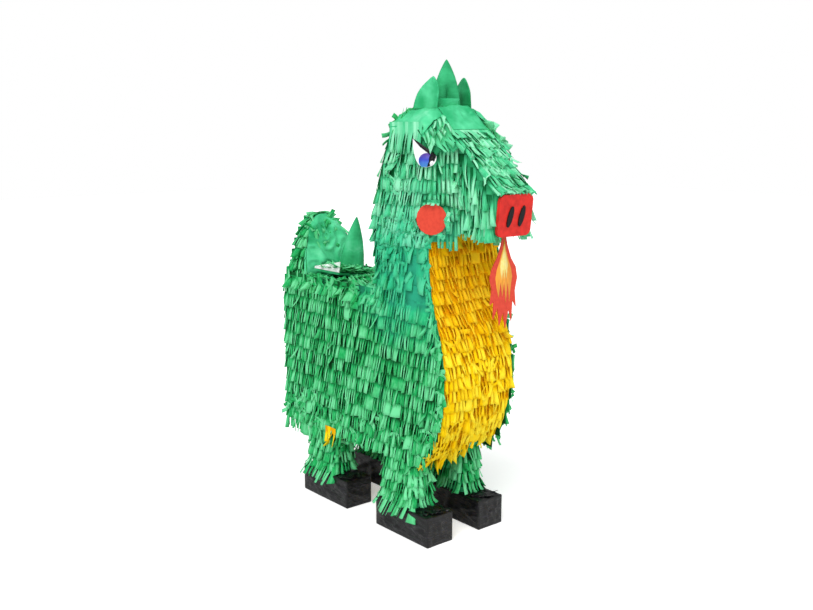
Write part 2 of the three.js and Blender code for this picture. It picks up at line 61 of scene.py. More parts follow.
# ---- Board shell ----
# The body is a box of 3 mm corrugated board: two flank panels cut to the dragon's outline, with the chest,
# nape, back, rump and belly bent round between them, and a folded head and snout. All of it is hot-glued.
mm = 0.001
paper = 0.0003  # a strip with its crinkles


def linear(hex_colour, alpha=1.0):
    parts = [int(hex_colour[i : i + 2], 16) / 255 for i in (1, 3, 5)]
    return (*[c / 12.92 if c <= 0.04045 else ((c + 0.055) / 1.055) ** 2.4 for c in parts], alpha)


def new_material(name, roughness, **sockets):
    material = bpy.data.materials.new(name)
    material.use_nodes = True
    shader = material.node_tree.nodes["Principled BSDF"]
    shader.inputs["Roughness"].default_value = roughness
    for socket, value in sockets.items():
        shader.inputs[socket.replace("_", " ")].default_value = value
    return material, material.node_tree, shader


def add(tree, kind, inputs=None, **settings):
    """Adds a node: settings go on the node, and inputs are values or the sockets that feed it."""
    node = tree.nodes.new("ShaderNode" + kind)
    for name, value in settings.items():
        setattr(node, name, value)
    for name, value in (inputs or {}).items():
        if isinstance(value, bpy.types.NodeSocket):
            tree.links.new(value, node.inputs[name])
        else:
            node.inputs[name].default_value = value
    return node


def ramp(tree, factor, *stops):
    """A colour ramp from (place, hex colour) stops."""
    node = add(tree, "ValToRGB", {"Fac": factor})
    elements = node.color_ramp.elements
    while len(elements) < len(stops):
        elements.new(0.5)
    for element, (place, colour) in zip(elements, stops):
        element.position = place
        element.color = linear(colour)
    return node.outputs["Color"]


# Brown test-liner board, machine-made: faint lines where the flutes show through, and flecks of pulp.
board, tree, shader = new_material("corrugated_board_kraft_liner", 0.85)
where = add(tree, "TexCoord").outputs["Object"]
pulp = add(tree, "TexNoise", {"Vector": where, "Scale": 700.0, "Detail": 4.0}).outputs["Fac"]
flutes = add(tree, "TexWave", {"Vector": where, "Scale": 62.0, "Distortion": 0.6},
             bands_direction="Z").outputs["Fac"]
colour = ramp(tree, pulp, (0.3, "#8a6236"), (0.6, "#b48a57"), (0.85, "#c9a36f"))
bumps = add(tree, "Bump", {"Height": flutes, "Strength": 0.12, "Distance": 0.3 * mm}).outputs["Normal"]
tree.links.new(colour, shader.inputs["Base Color"])
tree.links.new(bumps, shader.inputs["Normal"])
for name, node in frame["nodes"].items():
    node.data.materials.clear()
    node.data.materials.append(board)


# ---- Crepe fringe ----
# Crepe paper is folded, cut into strips along one edge and glued on in rows from the bottom up, so each row
# hangs over the one below it. The strips are about 5 mm wide, and handling has bent and twisted them.
def crepe(name, dark, mid, light, collar_roll_and_throat_shade):
    """Dyed crepe paper, creped while wet, each strip in its own tone, with fine ridges along it. Painted
    shade darkens a strip towards its root, where the rows above would shade it, and painted light brightens
    it a little towards its tip. Round the collar, and in patches elsewhere, the paper takes another colour:
    for green and mint a roll of another tone, for yellow a deeper orange that is painted shade at the throat
    under the snout."""
    material, tree, shader = new_material(name, 0.85, Specular_IOR_Level=0.1)
    strip = add(tree, "UVMap", uv_map="strips").outputs["UV"]
    along = add(tree, "SeparateXYZ", {"Vector": strip})
    number = add(tree, "Math", {0: along.outputs["X"]}, operation="FLOOR").outputs["Value"]
    shade = add(tree, "TexWhiteNoise", {"W": number}, noise_dimensions="1D").outputs["Value"]
    stretched = add(tree, "VectorMath", {0: strip, 1: (6.0, 3.0, 1.0)},
                    operation="MULTIPLY").outputs["Vector"]
    ridges = add(tree, "TexNoise",
                 {"Vector": stretched, "Scale": 1.0, "Detail": 3.0, "Roughness": 0.6}).outputs["Fac"]
    # Painted shade and light: the tone falls towards a strip's root, where the rows above would shade it, and
    # rises a little towards its tip.
    painted_root_shade = {"Value": along.outputs["Y"], "From Min": 0.15, "From Max": 0.55, "To Min": -0.36, "To Max": 0.12}
    tone = add(tree, "MapRange", painted_root_shade).outputs["Result"]
    tone = add(tree, "Math", {0: shade, 1: 0.5, 2: tone}, operation="MULTIPLY_ADD").outputs["Value"]
    tone = add(tree, "Math", {0: ridges, 1: 0.6, 2: tone}, operation="MULTIPLY_ADD").outputs["Value"]
    colour = ramp(tree, tone, (0.14, dark), (0.46, mid), (0.86, light))
    where = add(tree, "TexCoord").outputs["Object"]
    collar = add(tree, "Mapping",
                 {"Vector": where, "Location": (0, 0.6, -2.6), "Scale": (6.0, 7.6, 7.6)}).outputs["Vector"]
    inside = add(tree, "TexGradient", {"Vector": collar}, gradient_type="SPHERICAL").outputs["Fac"]
    patch = add(tree, "TexNoise", {"Vector": where, "Scale": 16.0, "Detail": 2.0}).outputs["Fac"]
    patch = add(tree, "Math", {0: inside, 1: 1.5, 2: patch}, operation="MULTIPLY_ADD").outputs["Value"]
    patch = add(tree, "MapRange",
                {"Value": patch, "From Min": 0.6, "From Max": 1.3, "To Max": 0.6}).outputs["Result"]
    # For green and mint the collar colour is a roll of another tone; for yellow it is a deeper orange,
    # painted shade at the throat under the snout.
    colour = add(tree, "MixRGB", {"Fac": patch, "Color1": colour, "Color2": linear(collar_roll_and_throat_shade)}).outputs["Color"]
    bumps = add(tree, "Bump", {"Height": ridges, "Strength": 0.6, "Distance": 0.6 * mm}).outputs["Normal"]
    tree.links.new(colour, shader.inputs["Base Color"])
    tree.links.new(bumps, shader.inputs["Normal"])
    return material


crepe_green = crepe("crepe_paper_dyed_green", "#04431b", "#22ac5c", "#72dc9c", "#36c69c")
crepe_mint = crepe("crepe_paper_dyed_mint", "#076233", "#49c98c", "#98edc0", "#44cda2")
# The yellow's collar colour, a deeper orange, is painted shade at the throat under the snout.
crepe_yellow = crepe("crepe_paper_dyed_yellow", "#dd9c00", "#fdd200", "#ffe836", "#efae00")


def paper_grid(bm, columns, rows):
    """A flat sheet of vertices, one unit across and one long, to be laid on a surface."""
    return bmesh.ops.create_grid(bm, x_segments=columns, y_segments=rows, size=0.5)["verts"]


def strip_layer(bm):
    return bm.loops.layers.uv.get("strips") or bm.loops.layers.uv.new("strips")


def fringe_row(bm, place, ends, top, drop, cut=5 * mm, heading=7 * mm, lift=3 * mm, ragged=1.0, lean=0.0,
               bare=0.0, seed=0):
    """One row of fringe. place(u, s) gives a point u along the row and s down the surface, and the way out of
    it. ends are the row's two ends in u, top is where its glued edge is in s, and drop is its whole length.
    bare is how far the row's root shows, where no other row hangs over it; there the painted root shade is
    left off."""
    rng = random.Random(seed)
    count = max(1, round((ends[1] - ends[0]) / cut))
    pitch, steps = (ends[1] - ends[0]) / count, 5
    owner, strips = [], []
    while len(owner) < count:
        wide = min(rng.choice((2, 2, 3)) if rng.random() < 0.035 else 1, count - len(owner))
        strip = {"middle": len(owner) + wide / 2, "half": wide / 2, "bow": rng.uniform(0.2, 1.2),
                 "long": 1 + ragged * rng.uniform(-0.09, 0.07), "lean": lean + ragged * rng.gauss(0, 0.035),
                 "end": rng.uniform(0.3, 2.0), "twist": ragged * rng.gauss(0, 1.3),
                 "narrow": rng.uniform(0.48, 0.8) if wide == 1 else 0.92, "cup": rng.uniform(0.3, 1.5) / wide}
        if rng.random() < 0.06 * ragged:
            strip.update(lean=lean + rng.uniform(-0.55, 0.55), end=rng.uniform(1.8, 3.2),
                         long=rng.uniform(0.6, 1.15))
        owner += [len(strips)] * wide
        strips.append(strip)
    uv = strip_layer(bm)
    made = paper_grid(bm, 2 * count, steps)
    for v in made:
        v.co = Vector((round((v.co.x + 0.5) * 2 * count) / 2, round((v.co.y + 0.5) * steps), 0))
    faces = list({f for v in made for f in v.link_faces})
    cuts = []
    for edge in {e for f in faces for e in f.edges}:
        a, b = edge.verts[0].co, edge.verts[1].co
        if a.x == b.x and a.x % 1 == 0 and 0 < a.x < count and max(a.y, b.y) > 1:
            if owner[int(a.x) - 1] != owner[int(a.x)]:
                cuts.append(edge)
    if cuts:
        bmesh.ops.split_edges(bm, edges=cuts)
    spots = {}
    for face in faces:
        i = owner[min(count - 1, int(face.calc_center_median().x))]
        for loop in face.loops:
            gx, gy = loop.vert.co.x, loop.vert.co.y
            aside = (gx - strips[i]["middle"]) / strips[i]["half"]
            # uv v runs from the root to the tip and sets the painted root shade; bare starts it past that
            # shade.
            loop[uv].uv = (seed * 131 % 977 + i + 0.5 + 0.42 * aside, bare + (1 - bare) * gy / steps)
            spots[loop.vert] = (gx, gy, aside, strips[i])
    for v, (gx, gy, aside, strip) in spots.items():
        t = max(0.0, (gy - 1) / (steps - 1))
        u, s, out = gx * pitch, heading * min(gy, 1), 0.6 * mm
        if gy > 1:
            long = (drop - heading) * strip["long"]
            thin = 1 - (1 - strip["narrow"]) * min(1, 2.5 * t)
            aslant = strip["lean"] * long * t * (0.4 + 0.6 * t)
            u = (strip["middle"] + aside * strip["half"] * thin) * pitch + aslant
            s = heading + long * t
            out += lift * (0.6 * strip["bow"] * math.sin(math.pi * t * 0.9) + 0.75 * strip["end"] * t * t)
            out += lift * t * (0.45 * strip["twist"] * aside + 0.4 * strip["cup"] * (1 - aside * aside))
            out = max(out, 0.5 * mm)
        wave = (gy > 0) * 1.6 * mm * noise.noise(Vector(((ends[0] + u) * 28, seed * 0.37, 0)))
        point, away = place(ends[0] + u, top + s + wave)
        v.co = point + away * out


def backing(bm, place, ends, top, drop, seed=0):
    """The paper behind the strips of a row, so that no board shows between them. Its colour is the darkest
    painted root shade, standing for the shade between the strips.
    """
    uv = strip_layer(bm)
    count = max(1, round((ends[1] - ends[0]) / (8 * mm)))
    made = paper_grid(bm, count, 2)
    for face in {f for v in made for f in v.link_faces}:
        for loop in face.loops:
            # v of 0 gives the backing the darkest painted root shade, so the gaps between strips read as
            # shade.
            loop[uv].uv = (seed * 17 % 311 + 0.5, 0.0)
    for v in made:
        point, away = place(ends[0] + (v.co.x + 0.5) * (ends[1] - ends[0]), top + (v.co.y + 0.5) * drop)
        v.co = point + away * 0.35 * mm


def backed_row(bm, place, ends, top, behind, drop, number, seed, **row):
    """A row of fringe on its backing. behind is how far the backing reaches down, and number is its tone."""
    backing(bm, place, ends, top, behind, seed=number)
    fringe_row(bm, place, ends, top, drop, seed=seed, **row)


def scraps(bm, place, ends, top, bottom, count, seed, size=(16, 34), rise=5 * mm):
    """Strips that have come loose and lie across the fringe, curled, at any angle."""
    rng = random.Random(seed)
    uv = strip_layer(bm)
    for i in range(count):
        u, s, turn = rng.uniform(*ends), rng.uniform(top, bottom), rng.gauss(math.pi / 2, 0.75)
        long, wide, curl = rng.uniform(*size) * mm, rng.uniform(3.5, 6) * mm, rng.uniform(0.3, 1.0)
        made = paper_grid(bm, 2, 6)
        bend, twist = rng.uniform(-0.8, 0.8), rng.uniform(-1.2, 1.2)
        for face in {f for v in made for f in v.link_faces}:
            for loop in face.loops:
                # uv v starts past most of the painted root shade, so loose strips are not darkened at their
                # ends.
                loop[uv].uv = (seed * 7 % 401 + i + 0.5 + 0.8 * loop.vert.co.x, 0.7 + 0.5 * loop.vert.co.y)
        for v in made:
            a, b = v.co.x * wide, v.co.y
            angle = turn + bend * b
            du = math.cos(angle) * b * long - math.sin(angle) * a
            ds = math.sin(angle) * b * long + math.cos(angle) * a
            point, away = place(u + du, s + ds)
            v.co = point + away * (rise * (0.5 + 1.6 * curl * b * b) + twist * a * b)


def reach(node, at, across="y", along="z"):
    """The lowest and highest place of a CAD node, along one axis, where it is cut at a place on another."""
    axes = "xyz"
    cut = bmesh.new()
    cut.from_mesh(frame["nodes"][node].data)
    plane = Vector([1.0 if a == along else 0.0 for a in axes])
    found = bmesh.ops.bisect_plane(cut, geom=cut.verts[:] + cut.edges[:] + cut.faces[:], plane_co=plane * at,
                                   plane_no=plane)
    places = [v.co[axes.index(across)] for v in found["geom_cut"] if isinstance(v, bmesh.types.BMVert)]
    cut.free()
    return min(places), max(places)


def measured(line):
    """at(s) for a line: the point at a distance s along it. The line goes on straight past its ends."""
    points = [Vector(p) for p in line]
    lengths = [0.0]
    for a, b in zip(points, points[1:]):
        lengths.append(lengths[-1] + (b - a).length)

    def at(s):
        i = 0
        while i < len(points) - 2 and lengths[i + 1] < s:
            i += 1
        return points[i].lerp(points[i + 1], (s - lengths[i]) / (lengths[i + 1] - lengths[i]))

    at.length = lengths[-1]
    return at


def ribbon(line, outward):
    """place(u, s) for a surface that is a (y, z) line swept across the body. outward is 1 where the way out
    lies to the left of the line as it runs, and -1 where it lies to the right."""
    at = measured(line)

    def place(u, s):
        spot = at(s)
        run = (at(s + 4 * mm) - at(s - 4 * mm)).normalized()
        return Vector((u, spot.x, spot.y)), Vector((0, -run.y * outward, run.x * outward))

    place.length = at.length
    place.at = at
    return place


def heights(top, bottom, step=8 * mm):
    count = max(2, round((top - bottom) / step))
    return [top + (bottom - top) * i / count for i in range(count + 1)]


def panel_face(node, outward, zs=None):
    """The face of a bent panel as a ribbon: its front where outward is -1, and its rear where it is 1."""
    low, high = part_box(node)
    return ribbon([(reach(node, z)[outward > 0], z) for z in zs or heights(high.z - mm, low.z + mm)], outward)


def finish(name, bm, material, body, slot, *nodes, thickness=paper):
    """Makes a piece of a bmesh, which gets its paper thickness, and puts it in place of its CAD nodes."""
    mesh = bpy.data.meshes.new(name)
    bm.to_mesh(mesh)
    bm.free()
    mesh.materials.append(material)
    obj = bpy.data.objects.new(name, mesh)
    bpy.context.scene.collection.objects.link(obj)
    if thickness:
        solid = obj.modifiers.new("paper", "SOLIDIFY")
        solid.thickness = thickness
        solid.offset = 0
        for polygon in mesh.polygons:
            polygon.use_smooth = True
    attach(obj, body)
    if nodes:
        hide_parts(*nodes)
    return obj


both_sides = (("right", -1), ("left", 1))
half_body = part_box("flank_panel_left")[1].x
chest = panel_face("chest_panel", -1)

# ---- Papered boards ----
# Before the fringe goes on, the boards are wrapped in smooth green tissue, so their edges and seams show
# green.
def tissue_paper(name, dark, mid, light):
    """Smooth dyed tissue, pasted on wet: it dries with soft creases, and its tone is a little lighter along
    them.
    """
    material, tree, shader = new_material(name, 0.75, Specular_IOR_Level=0.15)
    where = add(tree, "TexCoord").outputs["Object"]
    patch = add(tree, "TexNoise", {"Vector": where, "Scale": 30.0, "Detail": 3.0}).outputs["Fac"]
    pulled = add(tree, "Mapping", {"Vector": where, "Scale": (55.0, 55.0, 130.0)}).outputs["Vector"]
    crease = add(tree, "TexNoise", {"Vector": pulled, "Scale": 1.0, "Detail": 4.0, "Distortion": 1.2},
                 noise_type="RIDGED_MULTIFRACTAL").outputs["Fac"]
    tone = add(tree, "Math", {0: crease, 1: 0.16, 2: patch}, operation="MULTIPLY_ADD").outputs["Value"]
    tree.links.new(ramp(tree, tone, (0.35, dark), (0.6, mid), (0.9, light)), shader.inputs["Base Color"])
    bumps = add(tree, "Bump", {"Height": crease, "Strength": 0.3, "Distance": 0.6 * mm}).outputs["Normal"]
    tree.links.new(bumps, shader.inputs["Normal"])
    return material


tissue_green = tissue_paper("tissue_paper_dyed_green", "#198a51", "#3bb77a", "#6fd6a6")
tissue_mint = tissue_paper("tissue_paper_dyed_mint", "#2bab6e", "#57d398", "#8aebbc")
papered = ["crown_panel", "chin_panel", "bridge_panel", "nape_panel", "rump_panel", "back_panel", "fill_flap",
           "tail_front_panel", "tail_back_panel", "tail_rim", "chest_panel", "belly_panel"]
for part in ("cheek_panel", "snout_side", "flank_panel", "front_leg", "rear_leg"):
    papered += [f"{part}_left", f"{part}_right"]
for name in papered:
    frame["nodes"][name].data.materials[0] = tissue_green


def tissue_sheet(bm, place, edges, top, bottom, puff=1.2 * mm, crease=1.2 * mm, cells=(40, 40), seed=0):
    """A smooth sheet pasted over a surface. edges(s) gives its two side edges at a distance s down the
    surface."""
    made = paper_grid(bm, cells[0], cells[1])
    for v in made:
        a, b = v.co.x + 0.5, v.co.y + 0.5
        s = top + (bottom - top) * b
        low, high = edges(s)
        point, away = place(low + (high - low) * a, s)
        spot = point * 45 + Vector((seed, 0, 0))
        fold = 1 - abs(noise.noise(spot * 1.3)) * 3
        rim = min(1, 6 * min(a, 1 - a, b, 1 - b))
        v.co = point + away * (0.9 * mm + rim * (puff * (0.5 + noise.noise(spot * 0.6)) + crease * max(0,
                                                                                                       fold)))


# ---- Chest and belly ----
# Yellow crepe from the throat to the tail end of the belly. Its strips are wider and rougher than the green
# ones, and the lowest hang down in long curls between the front legs.
bm = bmesh.new()
chest_pitch, yellow_cut = 15 * mm, 6 * mm
chest_rows = int((chest.length - 14 * mm) / chest_pitch) + 1
for i in range(chest_rows):
    ends, top = (-half_body + mm, half_body - mm), i * chest_pitch
    behind, drop = min(chest_pitch * 1.3, chest.length - top), min(26 * mm, chest.length + 4 * mm - top)
    rough = 1.4 + 0.2 * max(0, i - chest_rows + 5)
    backed_row(bm, chest, ends, top, behind, drop, i, 100 + i, cut=yellow_cut, lift=3.2 * mm, ragged=rough)
last = chest.length - 12 * mm
for ends, curls, seed in (((-half_body + mm, -10 * mm), 32 * mm, 140), ((-10 * mm, 20 * mm), 24 * mm, 141)):
    fringe_row(bm, chest, ends, last, curls, cut=yellow_cut, lift=4 * mm, ragged=3, seed=seed)
scraps(bm, chest, (-50 * mm, 50 * mm), chest.length * 0.4, chest.length * 0.9, 30, seed=150, rise=5 * mm)
scraps(bm, chest, (-58 * mm, -20 * mm), chest.length - 20 * mm, chest.length + 12 * mm, 16, seed=152,
       rise=6 * mm)
finish("chest_crepe", bm, crepe_yellow, "body", "crepe_yellow", "chest_fringe")

belly_low, belly_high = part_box("belly_panel")
belly = ribbon([(belly_low.y, belly_low.z), (belly_high.y, belly_low.z)], -1)
bm = bmesh.new()
belly_pitch = 18 * mm
for i in range(int(belly.length / belly_pitch)):
    backing(bm, belly, (-half_body + mm, half_body - mm), i * belly_pitch, 22 * mm, seed=i)
    fringe_row(bm, belly, (-25 * mm, 25 * mm), i * belly_pitch, 27 * mm, cut=yellow_cut, seed=200 + i)


def belly_edge(u, s):
    return Vector((-half_body - 5 * mm, belly_low.y + u, belly_low.z - s)), Vector((-1, 0, 0))


rear_leg_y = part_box("rear_leg_right")[0].y - belly_low.y
tucked = (rear_leg_y - 8 * mm, rear_leg_y + 16 * mm)
fringe_row(bm, belly_edge, tucked, 0, 24 * mm, cut=yellow_cut, lift=2.5 * mm, ragged=2, seed=230)
finish("belly_crepe", bm, crepe_yellow, "body", "crepe_yellow", "belly_fringe")

# ---- Flanks ----
# Green crepe in level rows, glued on from the bottom up. They run from the neck down to below the edge of the
# board, where the last hangs free. Round the front of the neck the first rows are cut into wide flaps.
back_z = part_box("back_panel")[1].z
chin_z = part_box("chin_panel")[0].z
rump_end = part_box("rump_panel")[1].y
flank_pitch, flank_drop = 18.5 * mm, 27 * mm
neck_rows, neck_flap, neck_flap_cut = 5, 46 * mm, 19 * mm
for side, s in both_sides:
    bm = bmesh.new()

    def flank(u, down, s=s):
        return Vector((s * half_body, u, chin_z - down)), Vector((s, 0, 0))

    first = chin_z - back_z
    rows = [first + flank_pitch * i for i in range(-neck_rows, 11)]
    for i, down in enumerate(rows):
        z = min(max(chin_z - down - 6 * mm, belly_low.z + mm), chin_z - mm)
        ends = reach(f"flank_panel_{side}", z)
        if down >= first:
            ends = (ends[0], rump_end)
        ends = (ends[0] - 1.5 * mm, ends[1] + 1.5 * mm)
        backing(bm, flank, ends, down, flank_pitch * 1.2, seed=i)
        rough, seed = 0.8 + 0.2 * max(0, i - 12), 300 + i + 50 * (s > 0)
        over_chest = (ends[0], ends[0] + 9 * mm)
        scraps(bm, flank, over_chest, down + 4 * mm, down + 18 * mm, 3, seed=seed + 100, size=(14, 26),
               rise=4 * mm)
        if i < neck_rows:
            front = (ends[0], ends[0] + neck_flap)
            if i % 2 == 0:
                flaps = {"cut": neck_flap_cut, "heading": 22 * mm, "lift": 4 * mm, "ragged": 0.9}
                fringe_row(bm, flank, front, down, neck_flap, seed=seed + 25, **flaps)
            ends = (front[1], ends[1])
            rough = 2.2
        fringe_row(bm, flank, ends, down, flank_drop, ragged=rough, seed=seed)
    along_back = (reach("nape_panel", back_z + 3 * mm)[1] - 20 * mm, rump_end - 4 * mm)
    fringe_row(bm, flank, along_back, first - 5 * mm, 23 * mm, ragged=2.2, lift=4 * mm, seed=340 + (s > 0))
    scraps(bm, flank, along_back, first - 2 * mm, first + 12 * mm, 30, seed=350 + (s > 0), size=(12, 26),
           rise=4 * mm)
    last, corner = first + 10.6 * flank_pitch, (rump_end - 50 * mm, rump_end)
    fringe_row(bm, flank, (60 * mm, rump_end), last, 32 * mm, ragged=1.7, lift=3.4 * mm, seed=355 + (s > 0))
    scraps(bm, flank, corner, first + 180 * mm, first + 215 * mm, 22, seed=358 + (s > 0), rise=6 * mm)
    scraps(bm, flank, (-90 * mm, -30 * mm), -4 * mm, 62 * mm, 26, seed=360 + (s > 0))
    scraps(bm, flank, (-120 * mm, 150 * mm), first + 160 * mm, first + 205 * mm, 34, seed=370 + (s > 0),
           rise=4 * mm)
    finish(f"flank_crepe_{side}", bm, crepe_green, "body", "crepe_green", f"flank_fringe_{side}")

# ---- Rump and nape ----
# Green crepe across the body, down the rump, and down the nape from the crown.
rump = panel_face("rump_panel", 1)
bm = bmesh.new()
for i in range(-1, int(rump.length / flank_pitch) + 1):
    ends, top = (-half_body - mm, half_body + mm), i * flank_pitch + 3 * mm
    backed_row(bm, rump, ends, top, flank_pitch * 1.2, 29 * mm, i, 400 + i, ragged=1.2, lift=3.5 * mm)
finish("rump_crepe", bm, crepe_green, "body", "crepe_green", "rump_fringe")

# The top of the head is flat in the middle and falls away to the flanks.
crown_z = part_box("crown_panel")[1].z
crown_spots = [v.co for v in frame["nodes"]["crown_panel"].data.vertices]
half_ridge = max(abs(p.x) for p in crown_spots if p.z > crown_z - 0.1 * mm)
crown_edge = max(p.x for p in crown_spots)
crown_fall = crown_z - max(p.z for p in crown_spots if p.x > crown_edge - 0.1 * mm)
hip_slope = crown_fall / (crown_edge - half_ridge)


def over_hip(place):
    """The same surface, with its sides falling away as the top of the head does."""

    def hipped(u, s):
        point, away = place(u, s)
        fall = max(0, abs(point.x) - half_ridge) * hip_slope
        tilt = hip_slope if abs(point.x) > half_ridge else 0
        return point - Vector((0, 0,
                               fall)), (away + Vector((math.copysign(tilt, point.x), 0, 0))).normalized()

    return hipped


nape_low, nape_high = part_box("nape_panel")
nape = panel_face("nape_panel", 1)
bm = bmesh.new()
for i in range(int(nape.length / flank_pitch)):
    half, top = min(half_body + mm, half_ridge + 6 * mm + i * 22 * mm), i * flank_pitch
    backed_row(bm, nape, (-half, half), top, flank_pitch * 1.2, 29 * mm, i, 450 + i, ragged=1.6,
               lift=3.5 * mm)
scraps(bm, nape, (-half_body, half_body), 10 * mm, 60 * mm, 30, seed=470, rise=6 * mm)
scraps(bm, over_hip(nape), (-half_body, 10 * mm), -9 * mm, 12 * mm, 26, seed=472, size=(14, 26), rise=5 * mm)
finish("nape_crepe", bm, crepe_green, "body", "crepe_green", "nape_fringe")

# ---- Head sides ----
# Green crepe in rows round the side of the head and the swept cheek, from the nape to the fold beside the
# snout. A smooth sheet caps the fall of the crown under the ear, down to the first row.
cheek_low, cheek_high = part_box("cheek_panel_left")
bridge_low, bridge_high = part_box("bridge_panel")
bridge_front = max(v.co.z for v in frame["nodes"]["bridge_panel"].data.vertices if v.co.y < bridge_low.y + mm)
bridge_slope = (bridge_high.z - bridge_front) / (bridge_high.y - bridge_low.y)


def roof_z(x, y):
    return crown_z - max(0, bridge_high.y - y) * bridge_slope - max(0, abs(x) - half_ridge) * hip_slope


def plan_path(points):
    """at(u) for a line in plan: the point at a distance u along it, and the way out, to the right of the
    line."""
    spot = measured(points)

    def at(u):
        run = (spot(u + 3 * mm) - spot(u - 3 * mm)).normalized()
        return spot(u), Vector((run.y, -run.x))

    at.length = spot.length
    return at


def rounded(before, corner, after, radius, steps=6):
    """Points that round off a corner in plan."""
    a = corner + (before - corner).normalized() * radius
    b = corner + (after - corner).normalized() * radius
    return [(a.lerp(corner, t / steps)).lerp(corner.lerp(b, t / steps), t / steps) for t in range(steps + 1)]


fold = Vector((cheek_low.x, cheek_low.y))
corner = Vector((half_body, cheek_high.y))
behind = Vector((half_body, nape_high.y + 60 * mm))
head_path = plan_path([fold, *rounded(fold, corner, behind, 12 * mm), behind])


def first_u(wanted):
    """The first place along the head's path that a test holds for."""
    return next(u for u in (i * mm for i in range(400)) if wanted(head_path(u)[0]))


eave_z, head_pitch = roof_z(half_body, bridge_high.y), 16.4 * mm
for side, s in both_sides:
    bm = bmesh.new()

    def head(u, down, s=s):
        point, away = head_path(u)
        return Vector((s * point.x, point.y, crown_z - down)), Vector((s * away.x, away.y, 0))

    def over_cap(u, down, head=head):
        point, away = head(u, down)
        return point + away * 1.6 * mm, away

    for i in range(8):
        z = eave_z + mm - i * head_pitch
        back = reach(f"flank_panel_{side}", min(z, eave_z - mm))[1]
        ends = (first_u(lambda p: roof_z(p.x, p.y) > z - 8 * mm), first_u(lambda p: p.y > back + mm))
        backing(bm, head, ends, crown_z - z, 20 * mm, seed=i)
        rough, seed = 1.1 + 0.25 * (i > 5), 500 + i + 20 * (s > 0)
        if i == 0:
            hem = crown_z - z - 6 * mm
            fringe_row(bm, over_cap, ends, hem, 37 * mm, heading=12 * mm, lift=3 * mm, bare=0.6, seed=seed)
        else:
            fringe_row(bm, head, ends, crown_z - z, 28 * mm, lift=3.4 * mm, ragged=rough, seed=seed)
    scraps(bm, head, (55 * mm, 110 * mm), 60 * mm, 100 * mm, 16, seed=540 + (s > 0), rise=4 * mm)
    scraps(bm, head, (50 * mm, 118 * mm), 128 * mm, 150 * mm, 26, seed=545 + (s > 0), rise=5 * mm)
    finish(f"head_crepe_{side}", bm, crepe_mint, "body", "crepe_green", f"head_fringe_{side}",
           f"cheek_fringe_{side}")

    back_y = reach(f"flank_panel_{side}", eave_z - mm)[1]
    fall_share = 0.82  # of the cap, above its hem
    bm = bmesh.new()
    made = paper_grid(bm, 60, 30)
    start, stop = first_u(lambda p: p.y > bridge_high.y - 9 * mm), first_u(lambda p: p.y > back_y - mm)
    for v in made:
        a, b = v.co.x + 0.5, v.co.y + 0.5
        point, away = head_path(start + (stop - start) * a)
        point = point + away * 1.4 * mm
        ridge = Vector((half_ridge - mm, point.y, roof_z(0, point.y) + 0.8 * mm))
        eave = Vector((point.x, point.y, roof_z(point.x, point.y) + 1.5 * mm))
        hem = eave - Vector((0, 0, (4 + 2 * noise.noise(Vector((a * 7, s, 0)))) * mm))
        spot = ridge.lerp(eave, b / fall_share) if b < fall_share else eave.lerp(hem, (b - fall_share) / 0.18)
        soft = math.sin(math.pi * min(1, b / 0.9)) * 3.2 * mm
        crease = 1.3 * mm * max(0, 1 - 3 * abs(noise.noise(spot * 60 + Vector((s * 5, 0, 0)))))
        spot += Vector((0.45, 0, 0.9)) * (soft + crease)
        v.co = Vector((s * spot.x, spot.y, spot.z))
    finish(f"head_cap_{side}", bm, tissue_mint, "body", "paper_green", thickness=0.6 * mm)

# ---- Snout and bridge ----
# Long green crepe down both sides of the snout, and across the bridge from the forehead to over the nose's
# top edge. The forehead itself is one smooth sheet, pasted down.
snout_low, snout_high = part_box("snout_side_left")
snout_pitch, bridge_pitch = 15 * mm, 15.5 * mm
for side, s in both_sides:
    bm = bmesh.new()

    def snout(u, down, s=s):
        return Vector((s * snout_high.x, u, crown_z - down)), Vector((s, 0, 0))

    for i in range(8):
        z = crown_z - 22 * mm - i * snout_pitch
        front = max(bridge_high.y - (crown_z - z - 3 * mm) / bridge_slope, snout_low.y + 2 * mm)
        if z < bridge_front:
            front = snout_low.y + (4 + 4 * max(0, i - 5)) * mm
        ends = (front, fold.y + 9 * mm)
        if ends[1] - ends[0] < 6 * mm:
            continue
        top, drop, seed = crown_z - z, min(36 * mm, z - chin_z + 6 * mm), 560 + i + 20 * (s > 0)
        backed_row(bm, snout, ends, top, 18 * mm, drop, i, seed, ragged=1.8, lift=3.5 * mm, lean=-0.22)
    finish(f"snout_crepe_{side}", bm, crepe_mint, "body", "crepe_green", f"snout_fringe_{side}")

bridge_line = ribbon([(bridge_high.y, bridge_high.z), (bridge_low.y, bridge_front)], -1)
bridge = over_hip(bridge_line)


def bridge_edges(s, spare=2.5 * mm):
    y = min(max(bridge_line.at(s).x, bridge_low.y + mm), bridge_high.y - mm)
    low, high = reach("bridge_panel", y, across="x", along="y")
    return low - spare, high + spare


